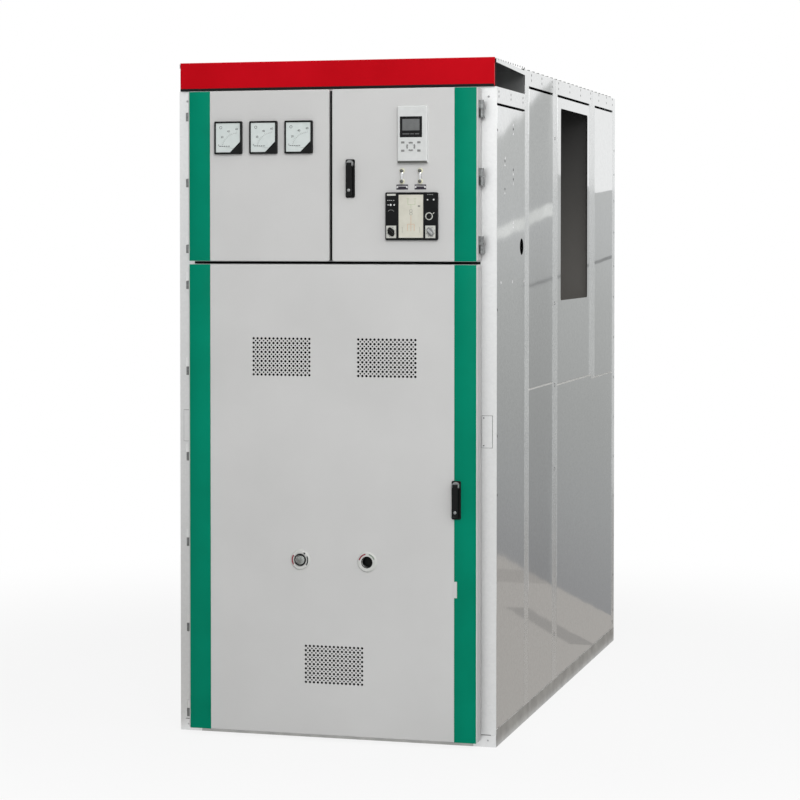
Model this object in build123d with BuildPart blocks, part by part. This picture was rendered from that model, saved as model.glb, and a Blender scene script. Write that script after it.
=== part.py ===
from build123d import *
import os

os.makedirs("parts", exist_ok=True)

# Metal-clad switchgear cabinet. X runs across the front, Y from the doors to the rear, Z up.
# The origin is the centre of the footprint, on the floor.

# Overall sizes
width = 1270.0
depth = 2540.0
body_height = 2600.0
sheet = 2.5
bend = 2.5

# Lengths of the sections along the side, counted from the front frame
front_section = 500.0
front_seam = 77.0
second_section = 477.0
second_seam = 100.0
window_section = 726.0
third_seam = 132.0
rear_post = 68.0

# Levels of the side
base_height = 64.0
joint_height = 1312.0
joint_step = 14.0
roof_skirt = 61.0
skirt_gap = 8.0
panel_gap = 2.0
seat_clearance = 0.3
panel_fold = 15.0
seam_post_depth = 40.0

# Busbar window in the side
window_length = 609.0
window_front = 72.0
window_top_margin = 47.0
window_bottom_margin = 355.0
window_corner = 12.0

# Round wiring hole in the front side panel
wiring_hole_radius = 32.5
wiring_hole_from_front = 442.0
wiring_hole_drop = 702.0

# Front frame
post_width = 89.0
post_return = 60.0
sill_height = 45.0
sill_depth = 60.0
rail_flange = 50.0
rail_wall = 5.0
beam_depth = 60.0
top_rail_height = 51.0
middle_rail_height = 70.0
front_roof_drop = 97.0

# Header panel and the wiring trough above the doors
header_inset = 7.5
header_depth = 13.0
header_height = 107.0
header_rise = 13.0
trough_cover_drop = 16.0
trough_cover_skirt = 17.0

# Doors
door_gap = 5.0
door_thickness = 59.0
door_margin = 59.0
door_corner = 8.0
door_edge = 2.5
door_lip = 22.0
doors_bottom = 23.0
doors_top_gap = 5.0
upper_door_height = 655.0
between_levels = 12.0
between_doors = 11.0
strip_width = 85.0
strip_thickness = 1.0
strip_reveal = 4.5
notch_width = 14.0
notch_height = 63.0
notch_rise = 552.0
strip_cut = 0.5

# Lift-off hinges
knuckle_radius = 9.0
knuckle_offset = 9.5
knuckle_forward = 39.0
knuckle_height = 32.0
knuckle_space = 1.5
pin_radius = 4.0
pin_clearance = 0.1
hinge_arm = 8.0
upper_hinge_count = 3
upper_hinge_above_bottom = 63.0
upper_hinge_below_top = 80.0
main_hinge_count = 6
main_hinge_above_bottom = 73.0
main_hinge_below_top = 65.0

# Swing handles
handle_width = 36.0
handle_height = 146.0
handle_base_thickness = 6.0
handle_corner = 6.0
upper_handle_from_split = 79.0
upper_handle_drop = 340.0
main_handle_from_edge = 81.0
main_handle_rise = 920.0
hub_radius = 15.0
hub_thickness = 6.0
hub_drop = 18.0
cheek_thickness = 4.0
cheek_depth = 12.0
cheek_clearance = 0.5
lever_thickness = 11.0
lever_end = 6.0
lever_pin_radius = 2.5
shaft_radius = 7.0
shaft_clearance = 0.5
cam_length = 34.0
cam_width = 16.0
cam_thickness = 4.0
cam_setback = 14.0
key_radius = 6.0
key_height = 36.0
key_proud = 1.0

# Meters on the left door
body_clearance = 0.5
moulding_chamfer = 1.5
meter_width = 112.0
meter_height = 126.0
meter_depth = 13.0
meter_pitch = 142.0
meter_from_edge = 308.5
meter_drop = 180.0
meter_rim = 7.0
meter_corner = 5.0
meter_cut = 40.0
meter_glass = 3.0
meter_body = 92.0
meter_body_depth = 40.0

# Protection relay on the right door
relay_width = 116.0
relay_height = 216.0
relay_depth = 16.0
relay_from_edge = 250.0
relay_drop = 176.0
relay_corner = 6.0
relay_edge = 3.0
relay_body_inset = 9.0
relay_body_depth = 45.0
screen_width = 87.0
screen_height = 79.0
screen_rise = 29.0
screen_shift = -5.0
screen_recess = 2.0
keypad_radius = 17.0
keypad_band = 6.0
keypad_fall = 45.0
keypad_height = 1.5

# Status display on the right door
display_width = 205.0
display_height = 181.0
display_depth = 12.0
display_from_edge = 254.0
display_drop = 484.0
display_corner = 6.0
display_body_depth = 40.0
display_body_inset = 12.0
panel_width = 96.0
panel_height = 163.0
panel_recess = 1.5
panel_shift = -2.0
knob_fall = 59.0
left_knob_shift = -79.0
right_knob_shift = 74.0
knob_radius = 13.0
knob_disc = 4.0
knob_grip_length = 24.0
knob_grip_width = 8.0
knob_grip_edge = 1.5
knob_rest_angle = -45.0
knob_grip_height = 10.0
knob_shaft_radius = 3.0
knob_shaft_length = 8.0
knob_clearance = 0.3

# Vents, key switch and crank hole of the main door
vent_length = 242.0
vent_height = 150.0
vent_offset = 210.0
vent_centre_x = 12.0
upper_vent_drop = 355.0
lower_vent_rise = 272.0
vent_holes_across = 5
vent_holes_up = 3
vent_hole_sides = 8
vent_hole_pitch_x = 46.8
vent_hole_pitch_z = 49.8
vent_hole_radius = 4.5
rosette_offset = 133.5
rosette_rise = 673.0
rosette_radius = 39.0
rosette_height = 7.0
rosette_seat = 2.0
crank_hole_radius = 20.0
key_switch_radius = 26.0
key_switch_recess = 3.0

# Small covers on the front posts
post_cover_width = 40.0
post_cover_height = 121.0
post_cover_thickness = 2.0
post_cover_bottom = 1138.0
post_cover_from_edge = 16.0

# Inner walls
truck_room_depth = 1100.0
rear_cover_split = 1300.0

# Positions worked out from the sizes above
half_width = width / 2
front = -depth / 2
rear = depth / 2
second_start = front + front_section + front_seam
second_end = second_start + second_section
window_section_start = second_end + second_seam
window_section_end = window_section_start + window_section
rear_section_start = window_section_end + third_seam
rear_section_end = rear - rear_post
roof_bottom = body_height - roof_skirt
front_roof_height = body_height - front_roof_drop
header_top = body_height + header_rise
header_bottom = header_top - header_height
panel_top = roof_bottom - skirt_gap
front_roof_bottom = front_roof_height - roof_skirt
front_panel_top = front_roof_bottom - skirt_gap
door_back = front - door_gap
door_face = door_back - door_thickness
door_half = half_width - door_margin
doors_top = front_roof_height - doors_top_gap
upper_doors_bottom = doors_top - upper_door_height
main_door_top = upper_doors_bottom - between_levels
hinge_x = door_half + knuckle_offset
hinge_y = front - knuckle_forward
handle_face = door_face - handle_base_thickness
hub_face = handle_face - hub_thickness
lever_pin_y = hub_face - cheek_depth / 2
upper_handle_x = upper_handle_from_split
upper_handle_z = doors_top - upper_handle_drop
main_handle_x = door_half - main_handle_from_edge
main_handle_z = doors_bottom + main_handle_rise
meter_x = meter_from_edge - door_half
meter_z = doors_top - meter_drop
relay_x = door_half - relay_from_edge
relay_z = doors_top - relay_drop
screen_x = relay_x + screen_shift
display_x = door_half - display_from_edge
display_z = doors_top - display_drop
knob_z = display_z - knob_fall
left_knob_x = display_x + left_knob_shift
right_knob_x = display_x + right_knob_shift


def spread(low, high, count):
    # Evenly spaced heights from one level to another
    return [low + step * (high - low) / (count - 1) for step in range(count)]


upper_hinge_heights = spread(
    upper_doors_bottom + upper_hinge_above_bottom, doors_top - upper_hinge_below_top,
    upper_hinge_count,
)
main_hinge_heights = spread(
    doors_bottom + main_hinge_above_bottom, main_door_top - main_hinge_below_top,
    main_hinge_count,
)

def front_plane(y):
    # Sketch plane facing the viewer, drawn in X and Z
    return Plane(origin=(0, y, 0), x_dir=(1, 0, 0), z_dir=(0, -1, 0))


def side_plane(x):
    # Sketch plane facing right, drawn in Y and Z
    return Plane(origin=(x, 0, 0), x_dir=(0, 1, 0), z_dir=(1, 0, 0))


def slab(x_low, x_high, y_low, y_high, z_low, z_high):
    # A flat plate or bar between two corners
    with BuildPart() as piece:
        with BuildSketch(Plane.XY.offset(z_low)):
            with Locations(((x_low + x_high) / 2, (y_low + y_high) / 2)):
                Rectangle(x_high - x_low, y_high - y_low)
        extrude(amount=z_high - z_low)
    return piece.part


def channel_rail(x_low, x_high, y_web, y_open, z_low, z_high):
    # A channel laid across the cabinet, its web at y_web and its open side at y_open
    length = y_open - y_web
    inward = 1 if length > 0 else -1
    with BuildPart() as rail:
        with BuildSketch(side_plane(x_low)):
            with Locations(((y_web + y_open) / 2, (z_low + z_high) / 2)):
                Rectangle(abs(length), z_high - z_low)
            with Locations(((y_web + y_open) / 2 + inward * rail_wall, (z_low + z_high) / 2)):
                Rectangle(abs(length), z_high - z_low - 2 * rail_wall, mode=Mode.SUBTRACT)
        extrude(amount=x_high - x_low)
    return rail.part


def mirrored(part):
    # The left-hand twin of a right-hand part
    with BuildPart() as twin:
        mirror(objects=part, about=Plane.YZ)
    return twin.part


def side_panel(*outline):
    # Folded side panel with its outline in Y and Z, open towards the inside
    with BuildPart() as panel:
        with BuildSketch(side_plane(half_width - panel_fold)):
            Polygon(*outline, align=None)
        extrude(amount=panel_fold)
        chamfer(panel.faces().sort_by(Axis.X)[-1].edges(), length=bend)
        with BuildSketch(side_plane(half_width - panel_fold)):
            Polygon(*outline, align=None)
            offset(amount=-sheet, kind=Kind.INTERSECTION, mode=Mode.REPLACE)
        extrude(amount=panel_fold - sheet, mode=Mode.SUBTRACT)
    return panel.part


def side_tray(y_low, y_high, z_low, z_high):
    # The same with a plain rectangular outline
    return side_panel((y_low, z_low), (y_high, z_low), (y_high, z_high), (y_low, z_high))


def roof_tray(y_low, y_high):
    # Roof panel turned down all round
    centre = (0, (y_low + y_high) / 2)
    length = y_high - y_low
    with BuildPart() as tray:
        with BuildSketch(Plane.XY.offset(roof_bottom)):
            with Locations(centre):
                Rectangle(width, length)
        extrude(amount=roof_skirt)
        chamfer(tray.faces().sort_by(Axis.Z)[-1].edges(), length=bend)
        with BuildSketch(Plane.XY.offset(roof_bottom)):
            with Locations(centre):
                Rectangle(width - 2 * sheet, length - 2 * sheet)
        extrude(amount=roof_skirt - sheet, mode=Mode.SUBTRACT)
    return tray.part


def rear_cover(z_low, z_high):
    # Folded cover between the rear corner posts
    cover_half = half_width - seam_post_depth
    centre = (0, (z_low + z_high) / 2)
    with BuildPart() as cover:
        with BuildSketch(front_plane(rear)):
            with Locations(centre):
                Rectangle(2 * cover_half, z_high - z_low)
        extrude(amount=panel_fold)
        chamfer(cover.faces().sort_by(Axis.Y)[-1].edges(), length=bend)
        with BuildSketch(front_plane(rear - sheet)):
            with Locations(centre):
                Rectangle(2 * cover_half - 2 * sheet, z_high - z_low - 2 * sheet)
        extrude(amount=panel_fold - sheet, mode=Mode.SUBTRACT)
    return cover.part


def seam_post(y_low, y_high, z_low, z_high):
    # Channel post between two side panels, open towards the inside
    with BuildPart() as post:
        with BuildSketch(Plane.XY.offset(z_low)):
            with BuildLine():
                Polyline(
                    (half_width - seam_post_depth, y_low),
                    (half_width, y_low),
                    (half_width, y_high),
                    (half_width - seam_post_depth, y_high),
                )
                offset(amount=sheet, side=Side.LEFT, closed=True)
            make_face()
        extrude(amount=z_high - z_low)
    return post.part


def door_pan(x_low, x_high, z_low, z_high):
    # Folded door leaf with a return lip all round its back
    centre = ((x_low + x_high) / 2, (z_low + z_high) / 2)
    leaf_width = x_high - x_low
    leaf_height = z_high - z_low
    with BuildPart() as pan:
        with BuildSketch(front_plane(door_back)):
            with Locations(centre):
                RectangleRounded(leaf_width, leaf_height, door_corner)
        extrude(amount=door_thickness)
        chamfer(pan.faces().sort_by(Axis.Y)[0].edges(), length=door_edge)
        with BuildSketch(front_plane(door_back - sheet)):
            with Locations(centre):
                RectangleRounded(
                    leaf_width - 2 * sheet, leaf_height - 2 * sheet, door_corner - sheet
                )
        extrude(amount=door_thickness - 2 * sheet, mode=Mode.SUBTRACT)
        with BuildSketch(front_plane(door_back)):
            with Locations(centre):
                Rectangle(leaf_width - 2 * door_lip, leaf_height - 2 * door_lip)
        extrude(amount=sheet, mode=Mode.SUBTRACT)
    return pan.part


def edge_strip(side, z_low, z_high):
    # Coloured strip down the outer edge of a door face; side is 1 right, -1 left
    x_middle = side * (door_half - strip_reveal - strip_width / 2)
    with BuildPart() as strip:
        with BuildSketch(front_plane(door_face)):
            with Locations((x_middle, (z_low + z_high) / 2)):
                RectangleRounded(strip_width, z_high - z_low - 2 * strip_reveal, strip_reveal * 2)
        extrude(amount=strip_thickness)
    return strip.part


def door_hinge_half(side, height):
    # Upper half, on the door: barrel and the block that joins it to the door's side
    z_low = height + knuckle_space / 2
    with BuildPart() as half:
        with BuildSketch(Plane.XY.offset(z_low)):
            with Locations((side * (door_half + hinge_x) / 2, hinge_y)):
                Rectangle(knuckle_offset, 2 * knuckle_radius)
            with Locations((side * hinge_x, hinge_y)):
                Circle(knuckle_radius)
                Circle(pin_radius + pin_clearance, mode=Mode.SUBTRACT)
        extrude(amount=knuckle_height)
    return half.part


def post_hinge_half(side, height):
    # Lower half, on the post: barrel, arm back to the post, and the pin
    z_low = height - knuckle_space / 2 - knuckle_height
    with BuildPart() as half:
        with BuildSketch(Plane.XY.offset(z_low)):
            with Locations((side * hinge_x, hinge_y)):
                Circle(knuckle_radius)
            with Locations((side * hinge_x, (hinge_y + front) / 2)):
                Rectangle(hinge_arm, front - hinge_y)
        extrude(amount=knuckle_height)
        with BuildSketch(Plane.XY.offset(z_low)):
            with Locations((side * hinge_x, hinge_y)):
                Circle(pin_radius)
        extrude(amount=2 * knuckle_height)
    return half.part


def handle_base(x, z):
    # Moulded plate that the swing handle lies on
    with BuildPart() as base:
        with BuildSketch(front_plane(door_face)):
            with Locations((x, z)):
                RectangleRounded(handle_width, handle_height, handle_corner)
        extrude(amount=handle_base_thickness)
        chamfer(base.faces().sort_by(Axis.Y)[0].edges(), length=moulding_chamfer)
        hub_z = z + handle_height / 2 - hub_drop
        with BuildSketch(front_plane(door_face)):
            with Locations((x, hub_z)):
                Circle(shaft_radius + shaft_clearance)
        extrude(amount=handle_base_thickness, mode=Mode.SUBTRACT)
    return base.part


def handle_hub(x, z, cam_side):
    # Turning hub with two cheeks for the lever, a shaft through the door and a cam behind it
    hub_z = z + handle_height / 2 - hub_drop
    cheek_x = hub_radius - cheek_thickness / 2
    cam_y = door_face + sheet + cam_setback
    with BuildPart() as hub:
        with BuildSketch(front_plane(handle_face - cheek_clearance)):
            with Locations((x, hub_z)):
                Circle(hub_radius)
        extrude(amount=hub_thickness - cheek_clearance)
        with BuildSketch(front_plane(hub_face)):
            with Locations((x - cheek_x, hub_z), (x + cheek_x, hub_z)):
                Rectangle(cheek_thickness, cheek_depth)
        extrude(amount=cheek_depth)
        with BuildSketch(side_plane(x - hub_radius)):
            with Locations((lever_pin_y, hub_z)):
                Circle(lever_pin_radius)
        extrude(amount=2 * hub_radius)
        with BuildSketch(front_plane(handle_face - cheek_clearance)):
            with Locations((x, hub_z)):
                Circle(shaft_radius)
        extrude(amount=handle_face - cheek_clearance - cam_y - cam_thickness)
        with BuildSketch(front_plane(cam_y + cam_thickness)):
            with Locations((x + cam_side * (cam_length / 2 - cam_width / 2), hub_z)):
                Rectangle(cam_length, cam_width)
        extrude(amount=cam_thickness)
    return hub.part


def handle_lever(x, z):
    # Lever that lifts off the plate about the pin between the hub's cheeks
    hub_z = z + handle_height / 2 - hub_drop
    lever_low = z - handle_height / 2 + lever_end
    lever_width = 2 * (hub_radius - cheek_thickness - cheek_clearance)
    lever_back = lever_pin_y + lever_thickness / 2
    with BuildPart() as lever:
        with BuildSketch(side_plane(x - lever_width / 2)):
            with BuildLine():
                Polyline(
                    (lever_pin_y, hub_z + lever_thickness / 2),
                    (lever_pin_y - lever_thickness / 2, hub_z),
                    (lever_pin_y - lever_thickness / 2, lever_low + lever_thickness / 2),
                    (lever_back - lever_thickness / 3, lever_low),
                    (lever_back, lever_low),
                    (lever_back, hub_z),
                    close=True,
                )
            make_face()
            with Locations((lever_pin_y, hub_z)):
                Circle(lever_thickness / 2)
                Circle(lever_pin_radius + pin_clearance, mode=Mode.SUBTRACT)
        extrude(amount=lever_width)
        with BuildSketch(front_plane(lever_pin_y)):
            with Locations((x, lever_low + key_height - lever_end)):
                Circle(key_radius)
        extrude(amount=lever_thickness / 2 + key_proud)
    return lever.part


def turn_knob(x, z):
    # Selector knob: a disc with a grip across it and a short shaft into the case
    back = door_face - display_depth - knob_clearance
    with BuildPart() as knob:
        with BuildSketch(front_plane(back)):
            with Locations((x, z)):
                Circle(knob_radius)
        extrude(amount=knob_disc)
        with BuildSketch(front_plane(back - knob_disc)):
            with Locations((x, z)):
                Rectangle(knob_grip_length, knob_grip_width, rotation=knob_rest_angle)
        extrude(amount=knob_grip_height)
        chamfer(knob.faces().sort_by(Axis.Y)[0].edges(), length=knob_grip_edge)
        with BuildSketch(front_plane(back)):
            with Locations((x, z)):
                Circle(knob_shaft_radius)
        extrude(amount=-knob_shaft_length)
    return knob.part


parts = {}


def keep(name, part):
    part.label = name
    parts[name] = part


# Base rails: channels along both sides, one length under each section
rail_breaks = (front + sill_depth, second_start, window_section_start, rear - sill_depth)
with BuildPart() as base_rails:
    for start, end in zip(rail_breaks[:-1], rail_breaks[1:]):
        with BuildSketch(front_plane(start)):
            with Locations((half_width, 0)):
                Rectangle(rail_flange, base_height, align=(Align.MAX, Align.MIN))
            with Locations((half_width - sheet, sheet)):
                Rectangle(rail_flange, base_height - 2 * sheet, align=(Align.MAX, Align.MIN),
                          mode=Mode.SUBTRACT)
        extrude(amount=start - end + panel_gap)
    mirror(about=Plane.YZ)
keep("base_rails", base_rails.part)

# Cross beams: front and rear sills, and three between the side rails
beam_starts = (second_start - beam_depth, -beam_depth / 2, rear_section_start - beam_depth)
beam_reach = half_width - rail_flange - panel_gap
with BuildPart() as base_crossbeams:
    add(channel_rail(-half_width, half_width, front, front + sill_depth, 0, sill_height))
    add(channel_rail(-half_width, half_width, rear, rear - sill_depth, 0, base_height))
    for start in beam_starts:
        add(channel_rail(-beam_reach, beam_reach, start, start + beam_depth, 0, base_height))
keep("base_crossbeams", base_crossbeams.part)

# Floor plate on the rails
keep("floor_plate", slab(
    seam_post_depth - half_width, half_width - seam_post_depth,
    front + post_return, rear - rear_post, base_height, base_height + sheet,
))

# Front posts: channels with the wide flange to the front
with BuildPart() as right_front_post:
    with BuildSketch(Plane.XY.offset(sill_height)):
        with BuildLine():
            Polyline(
                (half_width - post_width, front + post_return),
                (half_width - post_width, front),
                (half_width, front),
                (half_width, front + sheet),
                (half_width - panel_fold, front + sheet),
                (half_width - panel_fold, front + post_return),
                (half_width - panel_fold - sheet, front + post_return),
                (half_width - panel_fold - sheet, front + sheet),
                (half_width - post_width + sheet, front + sheet),
                (half_width - post_width + sheet, front + post_return),
                close=True,
            )
        make_face()
    extrude(amount=front_roof_height - top_rail_height - sill_height)
keep("right_front_post", right_front_post.part)
keep("left_front_post", mirrored(right_front_post.part))

# Cross rails of the front frame: one behind the line between the doors, one above them
rail_reach = half_width - post_width
middle_rail_low = upper_doors_bottom - between_levels / 2 - middle_rail_height / 2
with BuildPart() as front_crossrails:
    add(channel_rail(-rail_reach, rail_reach, front, front + post_return, middle_rail_low,
                     middle_rail_low + middle_rail_height))
    add(slab(-half_width, half_width, front, front + sheet, front_roof_height - top_rail_height,
             front_roof_height))
    add(slab(sheet - half_width, half_width - sheet, front + sheet, front + post_return,
             front_roof_height - top_rail_height, front_roof_height - sheet))
keep("front_crossrails", front_crossrails.part)

# Header panel across the top of the front, folded back at its edges
header_half = half_width - header_inset
with BuildPart() as header_panel:
    with BuildSketch(front_plane(front)):
        with Locations((0, (header_bottom + header_top) / 2)):
            Rectangle(2 * header_half, header_top - header_bottom)
    extrude(amount=header_depth)
    chamfer(header_panel.faces().sort_by(Axis.Y)[0].edges(), length=bend)
    with BuildSketch(front_plane(front)):
        with Locations((0, (header_bottom + header_top) / 2)):
            Rectangle(2 * header_half - 2 * sheet, header_top - header_bottom - 2 * sheet)
    extrude(amount=header_depth - sheet, mode=Mode.SUBTRACT)
keep("header_panel", header_panel.part)

# Roof of the front section: floor of the wiring trough, with a skirt down each side
trough_end = front + front_section
with BuildPart() as front_roof_panel:
    with BuildSketch(front_plane(front + sheet)):
        with BuildLine():
            Polyline(
                (-half_width + sheet / 2, front_roof_bottom),
                (-half_width + sheet / 2, front_roof_height - sheet / 2),
                (half_width - sheet / 2, front_roof_height - sheet / 2),
                (half_width - sheet / 2, front_roof_bottom),
            )
            offset(amount=sheet / 2)
        make_face()
    extrude(amount=-(trough_end - front - sheet))
keep("front_roof_panel", front_roof_panel.part)

# Cover of the wiring trough, falling a little to the rear
cover_front = front
cover_rear_top = header_top - sheet - trough_cover_drop
with BuildPart() as trough_cover:
    with BuildSketch(side_plane(-half_width)):
        with BuildLine():
            Polyline(
                (cover_front, header_top - sheet),
                (trough_end, cover_rear_top),
                (trough_end, cover_rear_top - trough_cover_skirt),
                (cover_front, header_top - sheet - trough_cover_skirt),
                close=True,
            )
        make_face()
    extrude(amount=width)
    with BuildSketch(side_plane(-half_width + sheet)):
        with BuildLine():
            Polyline(
                (cover_front - sheet, header_top - 2 * sheet),
                (trough_end + sheet, cover_rear_top - sheet),
                (trough_end + sheet, cover_rear_top - 2 * trough_cover_skirt),
                (cover_front - sheet, header_top - 2 * trough_cover_skirt),
                close=True,
            )
        make_face()
    extrude(amount=width - 2 * sheet, mode=Mode.SUBTRACT)
keep("trough_cover", trough_cover.part)

# Roof panels of the other sections: trays turned down all round
roof_breaks = (
    trough_end,
    window_section_start - second_seam / 2,
    rear_section_start - third_seam / 2,
    rear + panel_gap,
)
with BuildPart() as roof_panels:
    for start, end in zip(roof_breaks[:-1], roof_breaks[1:]):
        add(roof_tray(start, end - panel_gap))
keep("roof_panels", roof_panels.part)

# Side panels without an opening, and the front one with its wiring hole
panel_low = base_height + panel_gap
long_panel_step = rear_section_start - third_seam / 2
second_joint = joint_height + joint_step
rear_joint = joint_height - joint_step
with BuildPart() as right_side_panels:
    add(side_tray(front + sheet, front + front_section, panel_low, front_panel_top))
    with BuildSketch(side_plane(half_width - panel_fold)):
        with Locations((front + wiring_hole_from_front, body_height - wiring_hole_drop)):
            Circle(wiring_hole_radius)
    extrude(amount=panel_fold, mode=Mode.SUBTRACT)
    add(side_tray(second_start, second_end, second_joint, panel_top))
    add(side_tray(second_start, second_end, panel_low, second_joint - panel_gap))
    add(side_tray(rear_section_start, rear_section_end, rear_joint, panel_top))
    add(side_panel(
        (window_section_start, panel_low),
        (rear_section_end, panel_low),
        (rear_section_end, rear_joint - panel_gap),
        (long_panel_step, rear_joint - panel_gap),
        (long_panel_step, joint_height - panel_gap),
        (window_section_start, joint_height - panel_gap),
    ))
keep("right_side_panels", right_side_panels.part)
keep("left_side_panels", mirrored(right_side_panels.part))

# Side panel with the busbar window
window_start = window_section_start + window_front
window_low = joint_height + window_bottom_margin
window_high = panel_top - window_top_margin
with BuildPart() as right_window_panel:
    add(side_tray(window_section_start, window_section_end, joint_height, panel_top))
    with BuildSketch(side_plane(half_width - panel_fold)):
        with Locations((window_start + window_length / 2, (window_low + window_high) / 2)):
            RectangleRounded(window_length, window_high - window_low, window_corner)
    extrude(amount=panel_fold, mode=Mode.SUBTRACT)
keep("right_window_panel", right_window_panel.part)
keep("left_window_panel", mirrored(right_window_panel.part))

# Posts between the side panels, and the rear corner posts
with BuildPart() as right_seam_posts:
    add(seam_post(front + front_section, second_start, base_height, roof_bottom))
    add(seam_post(second_end, window_section_start, base_height, roof_bottom))
    add(seam_post(window_section_end, rear_section_start, joint_height, roof_bottom))
    add(seam_post(rear_section_end, rear, base_height, roof_bottom))
keep("right_seam_posts", right_seam_posts.part)
keep("left_seam_posts", mirrored(right_seam_posts.part))

# Rear covers: folded panels between the corner posts
with BuildPart() as rear_covers:
    add(rear_cover(panel_low, rear_cover_split))
    add(rear_cover(rear_cover_split + panel_gap, panel_top))
keep("rear_covers", rear_covers.part)

# Inner walls: flat plates that close the rooms behind the doors and the busbar window
wall_half = half_width - seam_post_depth
wall_low = base_height + sheet
truck_wall = front + truck_room_depth
busbar_wall = window_section_end + third_seam / 2
with BuildPart() as inner_walls:
    add(slab(-wall_half, wall_half, trough_end, trough_end + sheet,
             middle_rail_low + sheet + seat_clearance, roof_bottom))
    add(slab(-rail_reach, rail_reach, front + post_return, trough_end + sheet,
             middle_rail_low, middle_rail_low + sheet))
    add(slab(-wall_half, wall_half, truck_wall, truck_wall + sheet, wall_low, roof_bottom))
    add(slab(-wall_half, wall_half, busbar_wall, busbar_wall + sheet, wall_low, roof_bottom))
    add(slab(-wall_half, wall_half, truck_wall + sheet + seat_clearance,
             busbar_wall - seat_clearance, joint_height, joint_height + sheet))
keep("inner_walls", inner_walls.part)

# Small covers on the front posts
with BuildPart() as post_covers:
    with BuildSketch(front_plane(front)):
        with Locations((
            half_width - post_cover_from_edge - post_cover_width / 2,
            post_cover_bottom + post_cover_height / 2,
        )):
            Rectangle(post_cover_width, post_cover_height)
    extrude(amount=post_cover_thickness)
    mirror(about=Plane.YZ)
keep("post_covers", post_covers.part)

# Hinges: lower halves and pins on the posts, upper halves on the doors
with BuildPart() as post_hinges:
    for height in upper_hinge_heights:
        add(post_hinge_half(1, height))
        add(post_hinge_half(-1, height))
    for height in main_hinge_heights:
        add(post_hinge_half(-1, height))
keep("post_hinges", post_hinges.part)
with BuildPart() as left_upper_door_hinges:
    for height in upper_hinge_heights:
        add(door_hinge_half(-1, height))
keep("left_upper_door_hinges", left_upper_door_hinges.part)
with BuildPart() as right_upper_door_hinges:
    for height in upper_hinge_heights:
        add(door_hinge_half(1, height))
keep("right_upper_door_hinges", right_upper_door_hinges.part)
with BuildPart() as main_door_hinges:
    for height in main_hinge_heights:
        add(door_hinge_half(-1, height))
keep("main_door_hinges", main_door_hinges.part)

# Left upper door with its three meters
meter_places = [(meter_x + step * meter_pitch, meter_z) for step in (-1, 0, 1)]
with BuildPart() as left_upper_door:
    add(door_pan(-door_half, -between_doors / 2, upper_doors_bottom, doors_top))
    with BuildSketch(front_plane(door_face)):
        with Locations(*meter_places):
            Rectangle(meter_body + 2 * body_clearance, meter_body + 2 * body_clearance)
    extrude(amount=-2 * sheet, mode=Mode.SUBTRACT)
keep("left_upper_door", left_upper_door.part)
keep("left_upper_door_strip", edge_strip(-1, upper_doors_bottom, doors_top))

dial_width = meter_width - 2 * meter_rim
dial_height = meter_height - 2 * meter_rim
dial_outline = (
    (-dial_width / 2, -dial_height / 2),
    (dial_width / 2 - meter_cut, -dial_height / 2),
    (dial_width / 2, meter_cut - dial_height / 2),
    (dial_width / 2, dial_height / 2),
    (-dial_width / 2, dial_height / 2),
)
with BuildPart() as meter_cases:
    with BuildSketch(front_plane(door_face)):
        with Locations(*meter_places):
            RectangleRounded(meter_width, meter_height, meter_corner)
    extrude(amount=meter_depth)
    chamfer(meter_cases.faces().group_by(Axis.Y)[0].edges(), length=moulding_chamfer)
    with BuildSketch(front_plane(door_face - meter_depth)):
        with Locations(*meter_places):
            Polygon(*dial_outline, align=None)
    extrude(amount=-meter_glass, mode=Mode.SUBTRACT)
    with BuildSketch(front_plane(door_face)):
        with Locations(*meter_places):
            Rectangle(meter_body, meter_body)
    extrude(amount=-meter_body_depth)
keep("meter_cases", meter_cases.part)
with BuildPart() as meter_dials:
    with BuildSketch(front_plane(door_face - meter_depth + meter_glass)):
        with Locations(*meter_places):
            Polygon(*dial_outline, align=None)
    extrude(amount=meter_glass / 2)
keep("meter_dials", meter_dials.part)

# Right upper door with the relay, the status display and the handle
relay_body = (relay_width - 2 * relay_body_inset, relay_height - 2 * relay_body_inset)
display_body = (display_width - 2 * display_body_inset, display_height - 2 * display_body_inset)
upper_hub_z = upper_handle_z + handle_height / 2 - hub_drop
with BuildPart() as right_upper_door:
    add(door_pan(between_doors / 2, door_half, upper_doors_bottom, doors_top))
    with BuildSketch(front_plane(door_face)):
        with Locations((relay_x, relay_z)):
            Rectangle(relay_body[0] + 2 * body_clearance, relay_body[1] + 2 * body_clearance)
        with Locations((display_x, display_z)):
            Rectangle(
                display_body[0] + 2 * body_clearance, display_body[1] + 2 * body_clearance
            )
        with Locations((upper_handle_x, upper_hub_z)):
            Circle(shaft_radius + shaft_clearance)
    extrude(amount=-2 * sheet, mode=Mode.SUBTRACT)
keep("right_upper_door", right_upper_door.part)
keep("right_upper_door_strip", edge_strip(1, upper_doors_bottom, doors_top))

with BuildPart() as relay_case:
    with BuildSketch(front_plane(door_face)):
        with Locations((relay_x, relay_z)):
            RectangleRounded(relay_width, relay_height, relay_corner)
    extrude(amount=relay_depth)
    chamfer(relay_case.faces().sort_by(Axis.Y)[0].edges(), length=relay_edge)
    with BuildSketch(front_plane(door_face - relay_depth)):
        with Locations((screen_x, relay_z + screen_rise)):
            Rectangle(screen_width, screen_height)
    extrude(amount=-screen_recess, mode=Mode.SUBTRACT)
    with BuildSketch(front_plane(door_face - relay_depth)):
        with Locations((screen_x, relay_z - keypad_fall)):
            Circle(keypad_radius)
            Circle(keypad_radius - keypad_band, mode=Mode.SUBTRACT)
    extrude(amount=keypad_height)
    with BuildSketch(front_plane(door_face)):
        with Locations((relay_x, relay_z)):
            Rectangle(*relay_body)
    extrude(amount=-relay_body_depth)
keep("relay_case", relay_case.part)
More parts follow.
